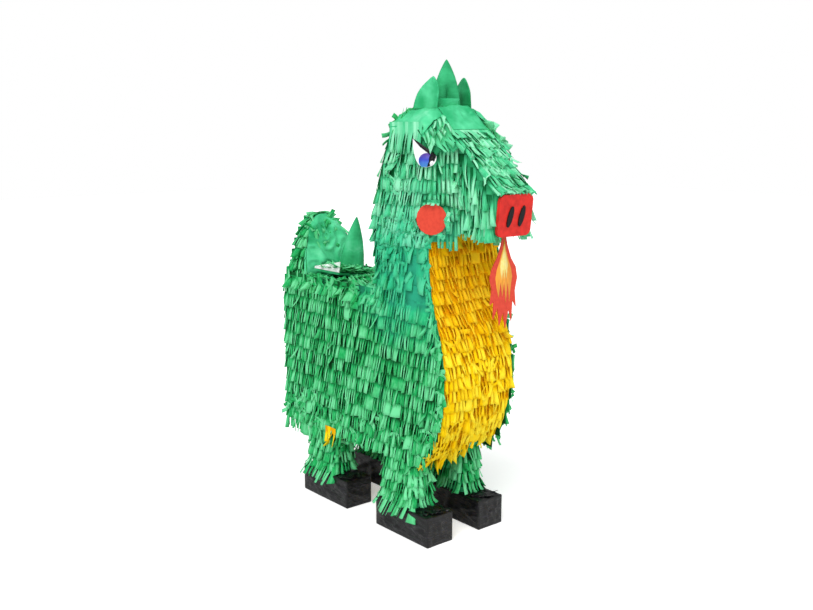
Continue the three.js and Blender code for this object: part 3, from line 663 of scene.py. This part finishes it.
bm = bmesh.new()
rows = int((bridge_line.length - 40 * mm) / (15 * mm)) + 1
for i in range(rows):
    row = 24 * mm + i * bridge_pitch
    drop = min(30 * mm, bridge_line.length + 5 * mm - row)
    backing(bm, bridge, bridge_edges(row), row, min(19 * mm, bridge_line.length - row), seed=i)
    heading, bare = (14 * mm, 0.6) if i == 0 else (7 * mm, 0)
    ends, seed = bridge_edges(row + 6 * mm), 600 + i
    fringe_row(bm, bridge, ends, row, drop, heading=heading, ragged=1.5, lift=2.8 * mm, bare=bare, seed=seed)
row = bridge_line.length - 15 * mm
fringe_row(bm, bridge, bridge_edges(row), row, 19 * mm, ragged=2.2, lift=2.4 * mm, seed=630)
brow = half_body + 3 * mm
for i, row in enumerate((12 * mm, 0.0)):
    for ends in ((-brow, -half_ridge + 3 * mm), (half_ridge - 3 * mm, brow)):
        lean, seed = math.copysign(0.25, ends[0]), 640 + 2 * i + int(ends[0] > 0)
        loose = {"heading": 9 * mm, "ragged": 2.0, "lift": 3.5 * mm, "lean": lean}
        backed_row(bm, bridge, ends, row, 15 * mm, 26 * mm, i, seed, **loose)
scraps(bm, bridge, (-24 * mm, 24 * mm), 60 * mm, 120 * mm, 22, seed=635, rise=4 * mm)
finish("bridge_crepe", bm, crepe_mint, "body", "crepe_green", "bridge_fringe")

crown_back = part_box("crown_panel")[1].y
over_crown = crown_back - bridge_high.y
forehead = ribbon([(crown_back, crown_z), (bridge_high.y, crown_z), (bridge_low.y, bridge_front)], -1)
bm = bmesh.new()
half = half_ridge - 2 * mm
tissue_sheet(bm, over_hip(forehead), lambda s: (-half, half), 0, over_crown + 36 * mm, 2.6 * mm, 2 * mm,
             seed=3)
finish("forehead_tissue", bm, tissue_mint, "body", "paper_green")

# ---- Back ----
# Green crepe lies back along the top, from the nape to the tail, with the fill opening left clear.
flap_low, flap_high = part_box("fill_flap")
tail_low, tail_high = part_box("tail_front_panel")
nape_y = reach("nape_panel", back_z + 3 * mm)[1]
back = ribbon([(nape_y, back_z), (tail_low.y, back_z)], 1)
clear = flap_high.x + 2 * mm
to_opening = flap_low.y - 2.5 * mm - nape_y
back_pitch, beside_pitch = 15 * mm, 13 * mm
bm = bmesh.new()
for i in range(5):
    top = 4 * mm + i * back_pitch
    if top + 27 * mm < to_opening:
        backed_row(bm, back, (-half_body, half_body), top, 17 * mm, 26 * mm, i, 640 + i, ragged=1.6)
for i in range(6):
    top = to_opening - 12 * mm + i * beside_pitch
    for ends in ((-half_body - mm, -clear), (clear, half_body + mm)):
        drop, seed = min(22 * mm, back.length - top), 660 + i + int(ends[0] > 0) * 10
        backed_row(bm, back, ends, top, min(15 * mm, drop), drop, i, seed, ragged=1.0, lift=1.6 * mm)
before = (to_opening - 15 * mm, to_opening - 10 * mm)
scraps(bm, back, (-half_body, 4 * mm), *before, 26, seed=690, size=(10, 18), rise=9 * mm)
beside = (-half_body + 3 * mm, -clear - 5 * mm)
scraps(bm, back, beside, to_opening, to_opening + 62 * mm, 22, seed=692, size=(12, 20), rise=7 * mm)
finish("back_crepe", bm, crepe_green, "body", "crepe_green", "back_fringe")

# ---- Legs ----
# Each leg is a rolled tube with green crepe round it in level rows. On its outer side one more row spreads
# over the top of the foot.
leg_pitch = 14 * mm
for place_along, end in enumerate(("front", "rear")):
    for side, s in both_sides:
        low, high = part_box(f"{end}_leg_{side}")
        corners = ((low.x, low.y), (low.x, high.y), (high.x, high.y), (high.x, low.y))
        corners = [Vector(corner) for corner in corners]
        ring = []
        for i in range(4):
            ring += rounded(corners[i - 1], corners[i], corners[(i + 1) % 4], 9 * mm)
        around = plan_path([*ring[::-1], ring[-1]])

        def leg(u, down, around=around, top_z=high.z):
            point, away = around(u % around.length)
            flare = 3.5 * mm * (max(0, down) / (68 * mm)) ** 2 + 0.55 * max(0, down - 62 * mm)
            point = point + away * (0.5 * mm + flare)
            return Vector((point.x, point.y, top_z - down)), Vector((away.x, away.y, 0))

        bm = bmesh.new()
        seed = 700 + 10 * (s > 0) + 20 * place_along
        for i in range(4):
            backed_row(bm, leg, (0, around.length), i * leg_pitch, 18 * mm, 24.5 * mm, i, seed + i,
                       ragged=1.1)
        outer = [u * mm for u in range(int(around.length / mm))]
        outer = [u for u in outer if abs(around(u)[0].x) > half_body - 0.5 * mm]
        ends = (outer[0] - 6 * mm, outer[-1] + 6 * mm)
        fringe_row(bm, leg, ends, 42 * mm, 38 * mm, ragged=1.3, lift=2 * mm, seed=seed + 6)
        scraps(bm, leg, (0, around.length), 10 * mm, 52 * mm, 14, seed=seed + 5, size=(14, 26), rise=3 * mm)
        finish(f"{end}_leg_crepe_{side}", bm, crepe_green, "body", "crepe_green", f"{end}_leg_fringe_{side}")

# ---- Feet ----
# Board boxes wrapped in black crepe, pulled tight and pasted down, so the paper folds on the slant. The ends
# of the wrapping are tucked under the lowest row of green, and a few stick out.
black_crepe, tree, shader = new_material("crepe_paper_dyed_black", 0.38, Specular_IOR_Level=0.4)
where = add(tree, "TexCoord").outputs["Object"]
turned = add(tree, "Mapping",
             {"Vector": where, "Rotation": (0.4, 0.2, 0.5), "Scale": (90.0, 90.0, 420.0)}).outputs["Vector"]
crinkle = add(tree, "TexNoise",
              {"Vector": turned, "Scale": 1.0, "Detail": 5.0, "Distortion": 0.8}).outputs["Fac"]
tree.links.new(ramp(tree, crinkle, (0.38, "#010102"), (0.54, "#050508"), (0.7, "#201f28")),
               shader.inputs["Base Color"])
bumps = add(tree, "Bump", {"Height": crinkle, "Strength": 1.0, "Distance": 1.2 * mm}).outputs["Normal"]
tree.links.new(bumps, shader.inputs["Normal"])

for place_along, end in enumerate(("front", "rear")):
    for side, s in both_sides:
        low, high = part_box(f"{end}_foot_{side}")
        bm = bmesh.new()
        bmesh.ops.create_cube(bm, size=1)
        bmesh.ops.scale(bm, vec=high - low, verts=bm.verts)
        bmesh.ops.translate(bm, vec=(low + high) / 2, verts=bm.verts)
        edges = {"geom": bm.edges[:], "offset": 1.5 * mm, "segments": 2}
        bmesh.ops.bevel(bm, **edges, profile=0.5, affect="EDGES", material=-1)
        bmesh.ops.subdivide_edges(bm, edges=bm.edges[:], cuts=23, use_grid_fill=True)
        bm.normal_update()
        moves = {}
        for v in bm.verts:
            spot = v.co * 38 + Vector((7 * s, 13 * place_along, 0))
            slant = Vector((spot.x + spot.z * 0.8, spot.y * 1.1 + spot.z * 0.7, spot.z * 0.35))
            broad, fine = (max(0, 1 - 5 * abs(noise.noise(slant * size))) for size in (1, 2.2))
            from_edge = sorted(min(v.co[a] - low[a], high[a] - v.co[a]) for a in range(3))[1]
            rise = 2.2 * mm * (broad + 0.7 * fine) + 0.8 * mm * noise.noise(spot * 4) - 0.4 * mm
            moves[v] = v.normal * min(from_edge / (9 * mm), 1) * rise
        for v, move in moves.items():
            v.co += move
            v.co.z = max(v.co.z, 0.0)
        piece = finish(f"{end}_foot_wrap_{side}", bm, black_crepe, "body", "crepe_black",
                       f"{end}_foot_{side}", thickness=0)
        for polygon in piece.data.polygons:
            polygon.use_smooth = True

        def foot_top(u, down, low=low, high=high, s=s):
            return Vector(((low.x + high.x) / 2 + u, low.y + down, high.z)), Vector((0, 0, 1))

        bm = bmesh.new()
        seed = 740 + 4 * place_along + 2 * (s > 0)
        scraps(bm, foot_top, (-16 * mm, 16 * mm), 6 * mm, 24 * mm, 9, seed=seed, size=(12, 22), rise=2.5 * mm)
        scraps(bm, foot_top, (-18 * mm, 18 * mm), 84 * mm, 96 * mm, 4, seed=seed + 1, size=(12, 20),
               rise=2.5 * mm)
        finish(f"{end}_foot_scraps_{side}", bm, black_crepe, "body", "crepe_black")

# ---- Tail ----
# Two arched boards with a rim between them lean back off the rump. Loose green tissue covers the front, and
# crepe rows run down the rim and the back.
tail_top = tail_high.z
tail_zs = [tail_top - 0.4 * mm, tail_top - 2 * mm, tail_top - 5 * mm,
           *heights(tail_top - 10 * mm, tail_low.z + mm)]
tail_front = panel_face("tail_front_panel", -1, tail_zs)
tail_back = panel_face("tail_back_panel", 1, tail_zs)


def tail_edges(place, spare):
    def edges(s):
        z = min(max(place.at(s).y, tail_low.z + mm), tail_top - 0.3 * mm)
        low, high = reach("tail_front_panel", z, across="x")
        return low - spare, high + spare

    return edges


bm = bmesh.new()
tissue_sheet(bm, tail_front, tail_edges(tail_front, 3 * mm), 0, tail_front.length, 5 * mm, 4 * mm, (50, 50),
             seed=11)
finish("tail_front_tissue", bm, tissue_mint, "body", "paper_green")
bm = bmesh.new()
edges, tail_pitch = tail_edges(tail_back, 4 * mm), 15.5 * mm
for i in range(6):
    top = 2 * mm + i * tail_pitch
    if top < tail_back.length - 12 * mm:
        backing(bm, tail_back, edges(top + 4 * mm), top, 18 * mm, seed=i)
        drop = min(27 * mm, tail_back.length - top + 6 * mm)
        fringe_row(bm, tail_back, edges(top + 8 * mm), top, drop, ragged=1.3, seed=760 + i)
finish("tail_back_crepe", bm, crepe_green, "body", "crepe_green", "tail_back_fringe")

outline = [Vector((0, tail_top)),
           *[Vector((reach("tail_front_panel", z, across="x")[1], z)) for z in tail_zs]]
rim_at, rim_pitch = measured(outline), 15 * mm
rim_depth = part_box("tail_back_panel")[0].y - tail_low.y + 3 * mm
bm = bmesh.new()
for s in (-1, 1):

    def rim(u, down, s=s):
        spot = rim_at(down)
        run = (rim_at(down + 4 * mm) - rim_at(down - 4 * mm)).normalized()
        z = min(max(spot.y, tail_low.z + mm), tail_top - 0.3 * mm)
        front, rear = reach("tail_front_panel", z)[0], reach("tail_back_panel", z)[1]
        return Vector((s * spot.x, front + (rear - front) * u / rim_depth, spot.y)), Vector((s * -run.y, 0,
                                                                                             run.x))

    for i in range(8):
        top = -6 * mm + i * rim_pitch
        if top < rim_at.length - 12 * mm:
            ends, seed = (-3 * mm, rim_depth + mm), 780 + i + 10 * (s > 0)
            backed_row(bm, rim, ends, top, 17 * mm, 26 * mm, i, seed, ragged=1.9, lift=3.4 * mm)
scraps(bm, tail_front, (-34 * mm, 10 * mm), 6 * mm, 46 * mm, 13, seed=798, rise=6 * mm)
finish("tail_rim_crepe", bm, crepe_green, "body", "crepe_green", "tail_side_fringe")

# ---- Fill flap ----
# The flap is papered board that folds up on a paper hinge on the dragon's left. Loose crepe is glued on it
# round the spike, which is rolled from tissue-covered card, and a white paper label is stuck to it.
hinge = Vector(frame["joints"][0]["pos_m"])
lift = math.radians(8)
flap_side, flap_up = Vector((-math.cos(lift), 0, math.sin(lift))), Vector((math.sin(lift), 0, math.cos(lift)))
flap_middle = (flap_low.y + flap_high.y) / 2
flap_span, flap_reach = flap_high.y - flap_low.y, (flap_high.x - flap_low.x) / math.cos(lift)


def flap(u, s):
    """Along the flap from its hinge, and straight on past its free edge."""
    past = max(0, s - flap_reach)
    return hinge + flap_side * s + Vector((0, flap_middle + u - hinge.y, 0)) + flap_up * 0.1 * past, flap_up


bm = bmesh.new()
for i, top in enumerate((3 * mm, 17 * mm, 31 * mm, 45 * mm, 57 * mm)):
    ends = (-flap_span / 2, flap_span / 2)
    backed_row(bm, flap, ends, top, 15 * mm, 24 * mm, i, 820 + i, ragged=2.2, lift=3.4 * mm)
scraps(bm, flap, (-28 * mm, 2 * mm), 30 * mm, 82 * mm, 40, seed=830, rise=9 * mm)
scraps(bm, flap, (-28 * mm, -16 * mm), 20 * mm, 84 * mm, 16, seed=831, size=(20, 38), rise=14 * mm)
scraps(bm, flap, (0, 26 * mm), 74 * mm, 84 * mm, 5, seed=832, size=(12, 20), rise=6 * mm)
finish("flap_crepe", bm, crepe_green, "fill_flap", "crepe_green")


def rolled_cone(bm, base, up, radius, height, flatness=1.0, hollow=0.0, seed=0, cells=(72, 40)):
    """A cone rolled from a sheet, its side bulging. hollow is how far its front is pushed in near the
    foot."""
    made = paper_grid(bm, cells[0], cells[1])
    side = Vector((1, 0, 0))
    ahead = up.cross(side).normalized()
    side = ahead.cross(up).normalized()
    for v in made:
        turn, t = (v.co.x + 0.5) * 2 * math.pi, v.co.y + 0.5
        r = radius * (1 - t**1.7) ** 0.85 * (1 + 0.04 * math.sin(3 * t))
        front = math.exp(-(((turn - math.pi - 0.45) / 0.75) ** 2))
        r *= 1 - hollow * front * math.exp(-(((t - 0.26) / 0.27) ** 2))
        spot = Vector((math.cos(turn), math.sin(turn), 2.2 * t)) * 1.6 + Vector((seed, 0, 0))
        r += (1 - t) * 0.9 * mm * noise.noise(spot * 1.7)
        v.co = base + side * math.sin(turn) * r + ahead * math.cos(turn) * r * flatness + up * (height * t)
    bmesh.ops.remove_doubles(bm, verts=made, dist=0.05 * mm)


spike_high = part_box("back_spike")[1]
spike_base = hinge + flap_side * (flap_reach / 2) + Vector((0, flap_middle - hinge.y, 0)) + flap_up * 0.5 * mm
bm = bmesh.new()
rolled_cone(bm, spike_base, flap_up, 18 * mm, spike_high.z - spike_base.z - mm, 0.85, 0.25, seed=5)
finish("spike_tissue", bm, tissue_green, "fill_flap", "paper_green", "back_spike", thickness=0.8 * mm)

# ---- Horn and ears ----
# The horn is rolled tissue-covered card with a hollow front and a paper band round its foot. The ears are
# flat card covered in tissue, bent a little, and stand along the sides of the crown.
horn_low, horn_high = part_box("head_horn")
horn_base = Vector(((horn_low.x + horn_high.x) / 2, (horn_low.y + horn_high.y) / 2, horn_low.z))
horn_radius = (horn_high.x - horn_low.x) / 2
horn_depth = (horn_high.y - horn_low.y) / (horn_high.x - horn_low.x)
bm = bmesh.new()
rolled_cone(bm, horn_base, Vector((0, 0, 1)), horn_radius, horn_high.z - horn_low.z, horn_depth, 0.97, seed=2)
finish("horn_tissue", bm, tissue_green, "body", "paper_green", "head_horn", thickness=0.8 * mm)
bm = bmesh.new()
made = paper_grid(bm, 56, 5)
for v in made:
    turn, t = (v.co.x + 0.5) * 2 * math.pi, v.co.y + 0.5
    ripple = 0.6 * mm * noise.noise(Vector((math.cos(turn), math.sin(turn), t)) * 4)
    r = horn_radius * (0.96 - 0.1 * math.exp(-(((turn - math.pi) / 0.9) ** 2))) + ripple
    v.co = horn_base + Vector((math.sin(turn) * r, math.cos(turn) * r * horn_depth, 13 * mm * t - 0.3 * mm))
bmesh.ops.remove_doubles(bm, verts=made, dist=0.05 * mm)
finish("horn_band", bm, tissue_mint, "body", "paper_green", thickness=0.6 * mm)

for side, s in both_sides:
    low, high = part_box(f"ear_{side}")
    height, half = high.z - low.z, (high.y - low.y) / 2
    bm = bmesh.new()
    made = paper_grid(bm, 26, 24)
    for v in made:
        a, b = v.co.x * 2, v.co.y + 0.5
        back_edge, front_edge = half * (1 - b**2.6 * 0.72), half * (1 - b**3 * 0.72) * (1 - 0.1 * b)
        tip = -0.44 * half
        y = (back_edge if a > 0 else front_edge) * a * (1 - b**6) ** 0.5 + tip * b**1.6
        lean = (low.x + high.x) / 2 * s + (y / half) * 2.8 * mm
        x = abs(lean) + 3 * mm * a * a * (1 - b) - 1.5 * mm * b + 0.8 * mm * noise.noise(Vector((a * 2, b * 3,
                                                                                                 4 * s)))
        v.co = Vector((s * x, (low.y + high.y) / 2 + y, low.z + height * b))
    bmesh.ops.remove_doubles(bm, verts=made, dist=0.05 * mm)
    # The far (left) ear gets the darker green tissue as painted shade; the near one is mint.
    finish(f"ear_tissue_{side}", bm, tissue_mint if s < 0 else tissue_green, "body", "paper_green",
           f"ear_{side}", thickness=1.6 * mm)

# ---- Nose, eyes and cheek discs ----
# The nose is a board plate faced with red tissue, with two nostrils of black card. The eyes and cheek discs
# are printed card, glued on over the fringe.
def card_stock(name, colour, dark, roughness=0.6, grain=260.0, tooth=0.25):
    """Printed or dyed card: nearly flat colour, with a little mottling from the fibres and a faint tooth."""
    material, tree, shader = new_material(name, roughness, Specular_IOR_Level=0.3)
    where = add(tree, "TexCoord").outputs["Object"]
    fibre = add(tree, "TexNoise", {"Vector": where, "Scale": grain, "Detail": 4.0}).outputs["Fac"]
    tree.links.new(ramp(tree, fibre, (0.3, dark), (0.6, colour)), shader.inputs["Base Color"])
    bumps = add(tree, "Bump", {"Height": fibre, "Strength": tooth, "Distance": 0.3 * mm}).outputs["Normal"]
    tree.links.new(bumps, shader.inputs["Normal"])
    return material


red_tissue = card_stock("tissue_on_board_red", "#e0291f", "#c42018", 0.6, 120.0, 0.5)
black_card = card_stock("card_black", "#0c0a0e", "#040405", 0.6)
coral_card = card_stock("card_printed_coral", "#dc4630", "#d03c28", 0.55)
white_card = card_stock("card_printed_white", "#fbfbfb", "#eceef2", 0.5)
frame["nodes"]["nose_plate"].data.materials[0] = red_tissue
frame["nodes"]["fill_label"].data.materials[0] = white_card
for side in ("right", "left"):
    frame["nodes"][f"nostril_{side}"].data.materials[0] = black_card
    frame["nodes"][f"cheek_disc_{side}"].data.materials[0] = coral_card
    frame["nodes"][f"eye_{side}"].data.materials[0] = white_card


def printed_shape(bm, frame_at, points, height):
    """A flat shape printed on a card: points in the card's own plane, at a height over its face."""
    face = bm.faces.new([bm.verts.new(frame_at(x, z, height)) for x, z in points])
    bmesh.ops.triangulate(bm, faces=[face])


iris_ink, tree, shader = new_material("ink_printed_iris", 0.45, Specular_IOR_Level=0.3)
iris_height = add(tree, "SeparateXYZ", {"Vector": add(tree, "TexCoord").outputs["Object"]}).outputs["Z"]
eye_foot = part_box("eye_left")[0].z
iris = {"Value": iris_height, "From Min": eye_foot, "From Max": eye_foot + 17 * mm}
rise = add(tree, "MapRange", iris).outputs["Result"]
tree.links.new(ramp(tree, rise, (0.1, "#4f9df0"), (0.5, "#3c4fc4"), (0.9, "#5a3d9c")),
               shader.inputs["Base Color"])
lash_ink, tree, shader = new_material("ink_printed_black", 0.45, Specular_IOR_Level=0.3)
shader.inputs["Base Color"].default_value = linear("#0b0a0d")

for side, s in both_sides:
    spots = [v.co for v in frame["nodes"][f"eye_{side}"].data.vertices]
    low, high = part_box(f"eye_{side}")
    middle = (low + high) / 2
    back_way = Vector((s * (high.x - low.x), high.y - low.y, 0)).normalized()
    outward = Vector((s * back_way.y, -abs(back_way.x), 0))
    face_off = max((p - middle).dot(outward) for p in spots)
    half = max((p - middle).dot(back_way) for p in spots)
    tall = (high.z - low.z) / 2

    def on_eye(x, z, height, middle=middle, back_way=back_way, outward=outward, face_off=face_off):
        return middle + back_way * x + outward * (face_off + height) + Vector((0, 0, z))

    def trimmed(x, z, half=half, tall=tall):
        """Keeps a point inside the eye's edge: under the lash line, and in from its rounded foot."""
        z = min(z, tall - (half - x) / (2 * half) * 1.2 * tall)
        reach_x = half * 0.96 * max(0.05, 1 - max(0, -z / tall) ** 2.6) ** 0.5
        return max(-reach_x, min(reach_x, x)), max(z, -0.97 * tall)

    def oval(x, z, wide, high, count=28):
        turns = [2 * math.pi * i / count for i in range(count)]
        return [trimmed(x + wide * math.cos(t), z + high * math.sin(t)) for t in turns]

    layers = (("iris", iris_ink, oval(-2.5 * mm, -9 * mm, 9.5 * mm, 9 * mm), 0.10 * mm),
              ("pupil", lash_ink, oval(-9.5 * mm, -9 * mm, 4 * mm, 8 * mm), 0.18 * mm),
              ("glint", white_card, oval(-9.5 * mm, -12 * mm, 2.8 * mm, 3.2 * mm), 0.26 * mm))
    for name, ink, points, height in layers:
        bm = bmesh.new()
        printed_shape(bm, on_eye, points, height)
        finish(f"eye_{name}_{side}", bm, ink, "body", "card_white", thickness=0.05 * mm)
    brow = [(half, tall + 0.6 * mm), (half * 0.4, tall * 0.72), (-half * 0.3, tall * 0.3),
            (-half * 0.98, -tall * 0.1)]
    under = [(-half * 0.96, -tall * 0.38), (-half * 0.35, -tall * 0.02), (half * 0.35, tall * 0.42)]
    bm = bmesh.new()
    printed_shape(bm, on_eye, brow + under, 0.34 * mm)
    finish(f"eye_lash_{side}", bm, lash_ink, "body", "card_black", thickness=0.08 * mm)

    low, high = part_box(f"cheek_disc_{side}")
    centre = (low + high) / 2

    def on_disc(u, down, centre=centre, back_way=back_way, outward=outward):
        return centre + back_way * u + outward * 1.2 * mm - Vector((0, 0, down)), outward

    bm = bmesh.new()
    fringe_row(bm, on_disc, (-11 * mm, 11 * mm), -23 * mm, 6 * mm, heading=3 * mm, ragged=2.5, lift=2 * mm,
               seed=870 + (s > 0))
    scraps(bm, on_disc, (-21 * mm, -20 * mm), -6 * mm, 12 * mm, 4, seed=875 + (s > 0), size=(9, 14),
           rise=3 * mm)
    scraps(bm, on_disc, (-15 * mm, -6 * mm), 18 * mm, 20 * mm, 3, seed=877 + (s > 0), size=(7, 10),
           rise=2 * mm)
    finish(f"cheek_scraps_{side}", bm, crepe_mint, "body", "crepe_green")

# ---- Flame ----
# Printed card, cut to the outline of the flame and hung by a fold of paper from under the nose. The print
# is a coral edge, an orange body and a pale yellow heart, each ending in tongues.
flame_low, flame_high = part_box("flame_card")
frame["nodes"]["flame_card"].data.materials[0] = coral_card
orange_ink = card_stock("ink_printed_orange", "#fbab3c", "#f7a030", 0.55)
pale_ink = card_stock("ink_printed_pale_yellow", "#fff09a", "#ffe878", 0.55)


def tongues(wide, top, foot, count, deep, seed):
    """Half-width and depth of a flame layer: narrow at the top, swelling, then ending in pointed tongues."""
    rng = random.Random(seed)
    profile = ((0.0, 0.04), (0.2, 0.2), (0.42, 0.5), (0.62, 0.85), (0.8, 1.0), (1.0, 0.86))
    side = [(wide * w, top + (foot - top) * t) for t, w in profile]
    teeth = []
    for i in range(2 * count - 1):
        x = side[-1][0] * (1 - (i + 0.7) / count)
        teeth.append((x, foot + (deep * rng.uniform(0.7, 1.2) if i % 2 == 0 else -deep * 0.35)))
    return side + teeth + [(-x, z) for x, z in reversed(side)]


for name, ink, points, height in (
    ("orange", orange_ink, tongues(14 * mm, 5 * mm, 60 * mm, 4, 17 * mm, 2), 0.12 * mm),
    ("heart", pale_ink, tongues(6.5 * mm, 9 * mm, 42 * mm, 3, 9 * mm, 5), 0.2 * mm),
):
    bm = bmesh.new()
    for way in (-1, 1):
        plane = flame_low.y if way < 0 else flame_high.y
        printed_shape(bm, lambda x, z, h: Vector((x, plane + way * h, flame_high.z - z)), points, height)
    finish(f"flame_{name}", bm, ink, "flame", "card_flame", thickness=0.05 * mm)

# ---- Stage ----
# A white floor that glows a little to the eye, under a white sky, with one soft light high on the dragon's
# right and a weaker one ahead of it.
floor_bm = bmesh.new()
bmesh.ops.create_grid(floor_bm, x_segments=1, y_segments=1, size=6)
floor_mesh = bpy.data.meshes.new("floor")
floor_bm.to_mesh(floor_mesh)
floor_bm.free()
floor = bpy.data.objects.new("floor", floor_mesh)
bpy.context.scene.collection.objects.link(floor)
floor_material, tree, shader = new_material("painted_studio_floor", 0.9, Specular_IOR_Level=0.0)
shader.inputs["Base Color"].default_value = linear("#fdfdfd")
shader.inputs["Emission Color"].default_value = (1, 1, 1, 1)
seen = add(tree, "Math", {0: add(tree, "LightPath").outputs["Is Camera Ray"], 1: 0.34}, operation="MULTIPLY")
tree.links.new(seen.outputs["Value"], shader.inputs["Emission Strength"])
floor.data.materials.append(floor_material)


def sun_light(name, place, angle, power):
    data = bpy.data.lights.new(name, "SUN")
    data.angle = math.radians(angle)
    data.energy = power
    obj = bpy.data.objects.new(name, data)
    obj.rotation_euler = (-Vector(place)).to_track_quat("-Z", "Y").to_euler()
    bpy.context.scene.collection.objects.link(obj)


sun_light("key", (-1.0, -0.6, 1.25), 45, 2.35)
sun_light("fill", (0.7, -1.2, 0.8), 70, 0.75)
world = bpy.data.worlds.new("studio")
world.use_nodes = True
tree = world.node_tree
lit, seen = tree.nodes["Background"], add(tree, "Background", {"Color": (1, 1, 1, 1), "Strength": 1.0})
lit.inputs["Color"].default_value = (1, 1, 1, 1)
lit.inputs["Strength"].default_value = 0.42
by_eye = add(tree, "LightPath").outputs["Is Camera Ray"]
sky = add(tree, "MixShader", {"Fac": by_eye, 1: lit.outputs["Background"], 2: seen.outputs["Background"]})
tree.links.new(sky.outputs["Shader"], tree.nodes["World Output"].inputs["Surface"])
bpy.context.scene.world = world
bpy.context.scene.view_settings.view_transform = "Standard"
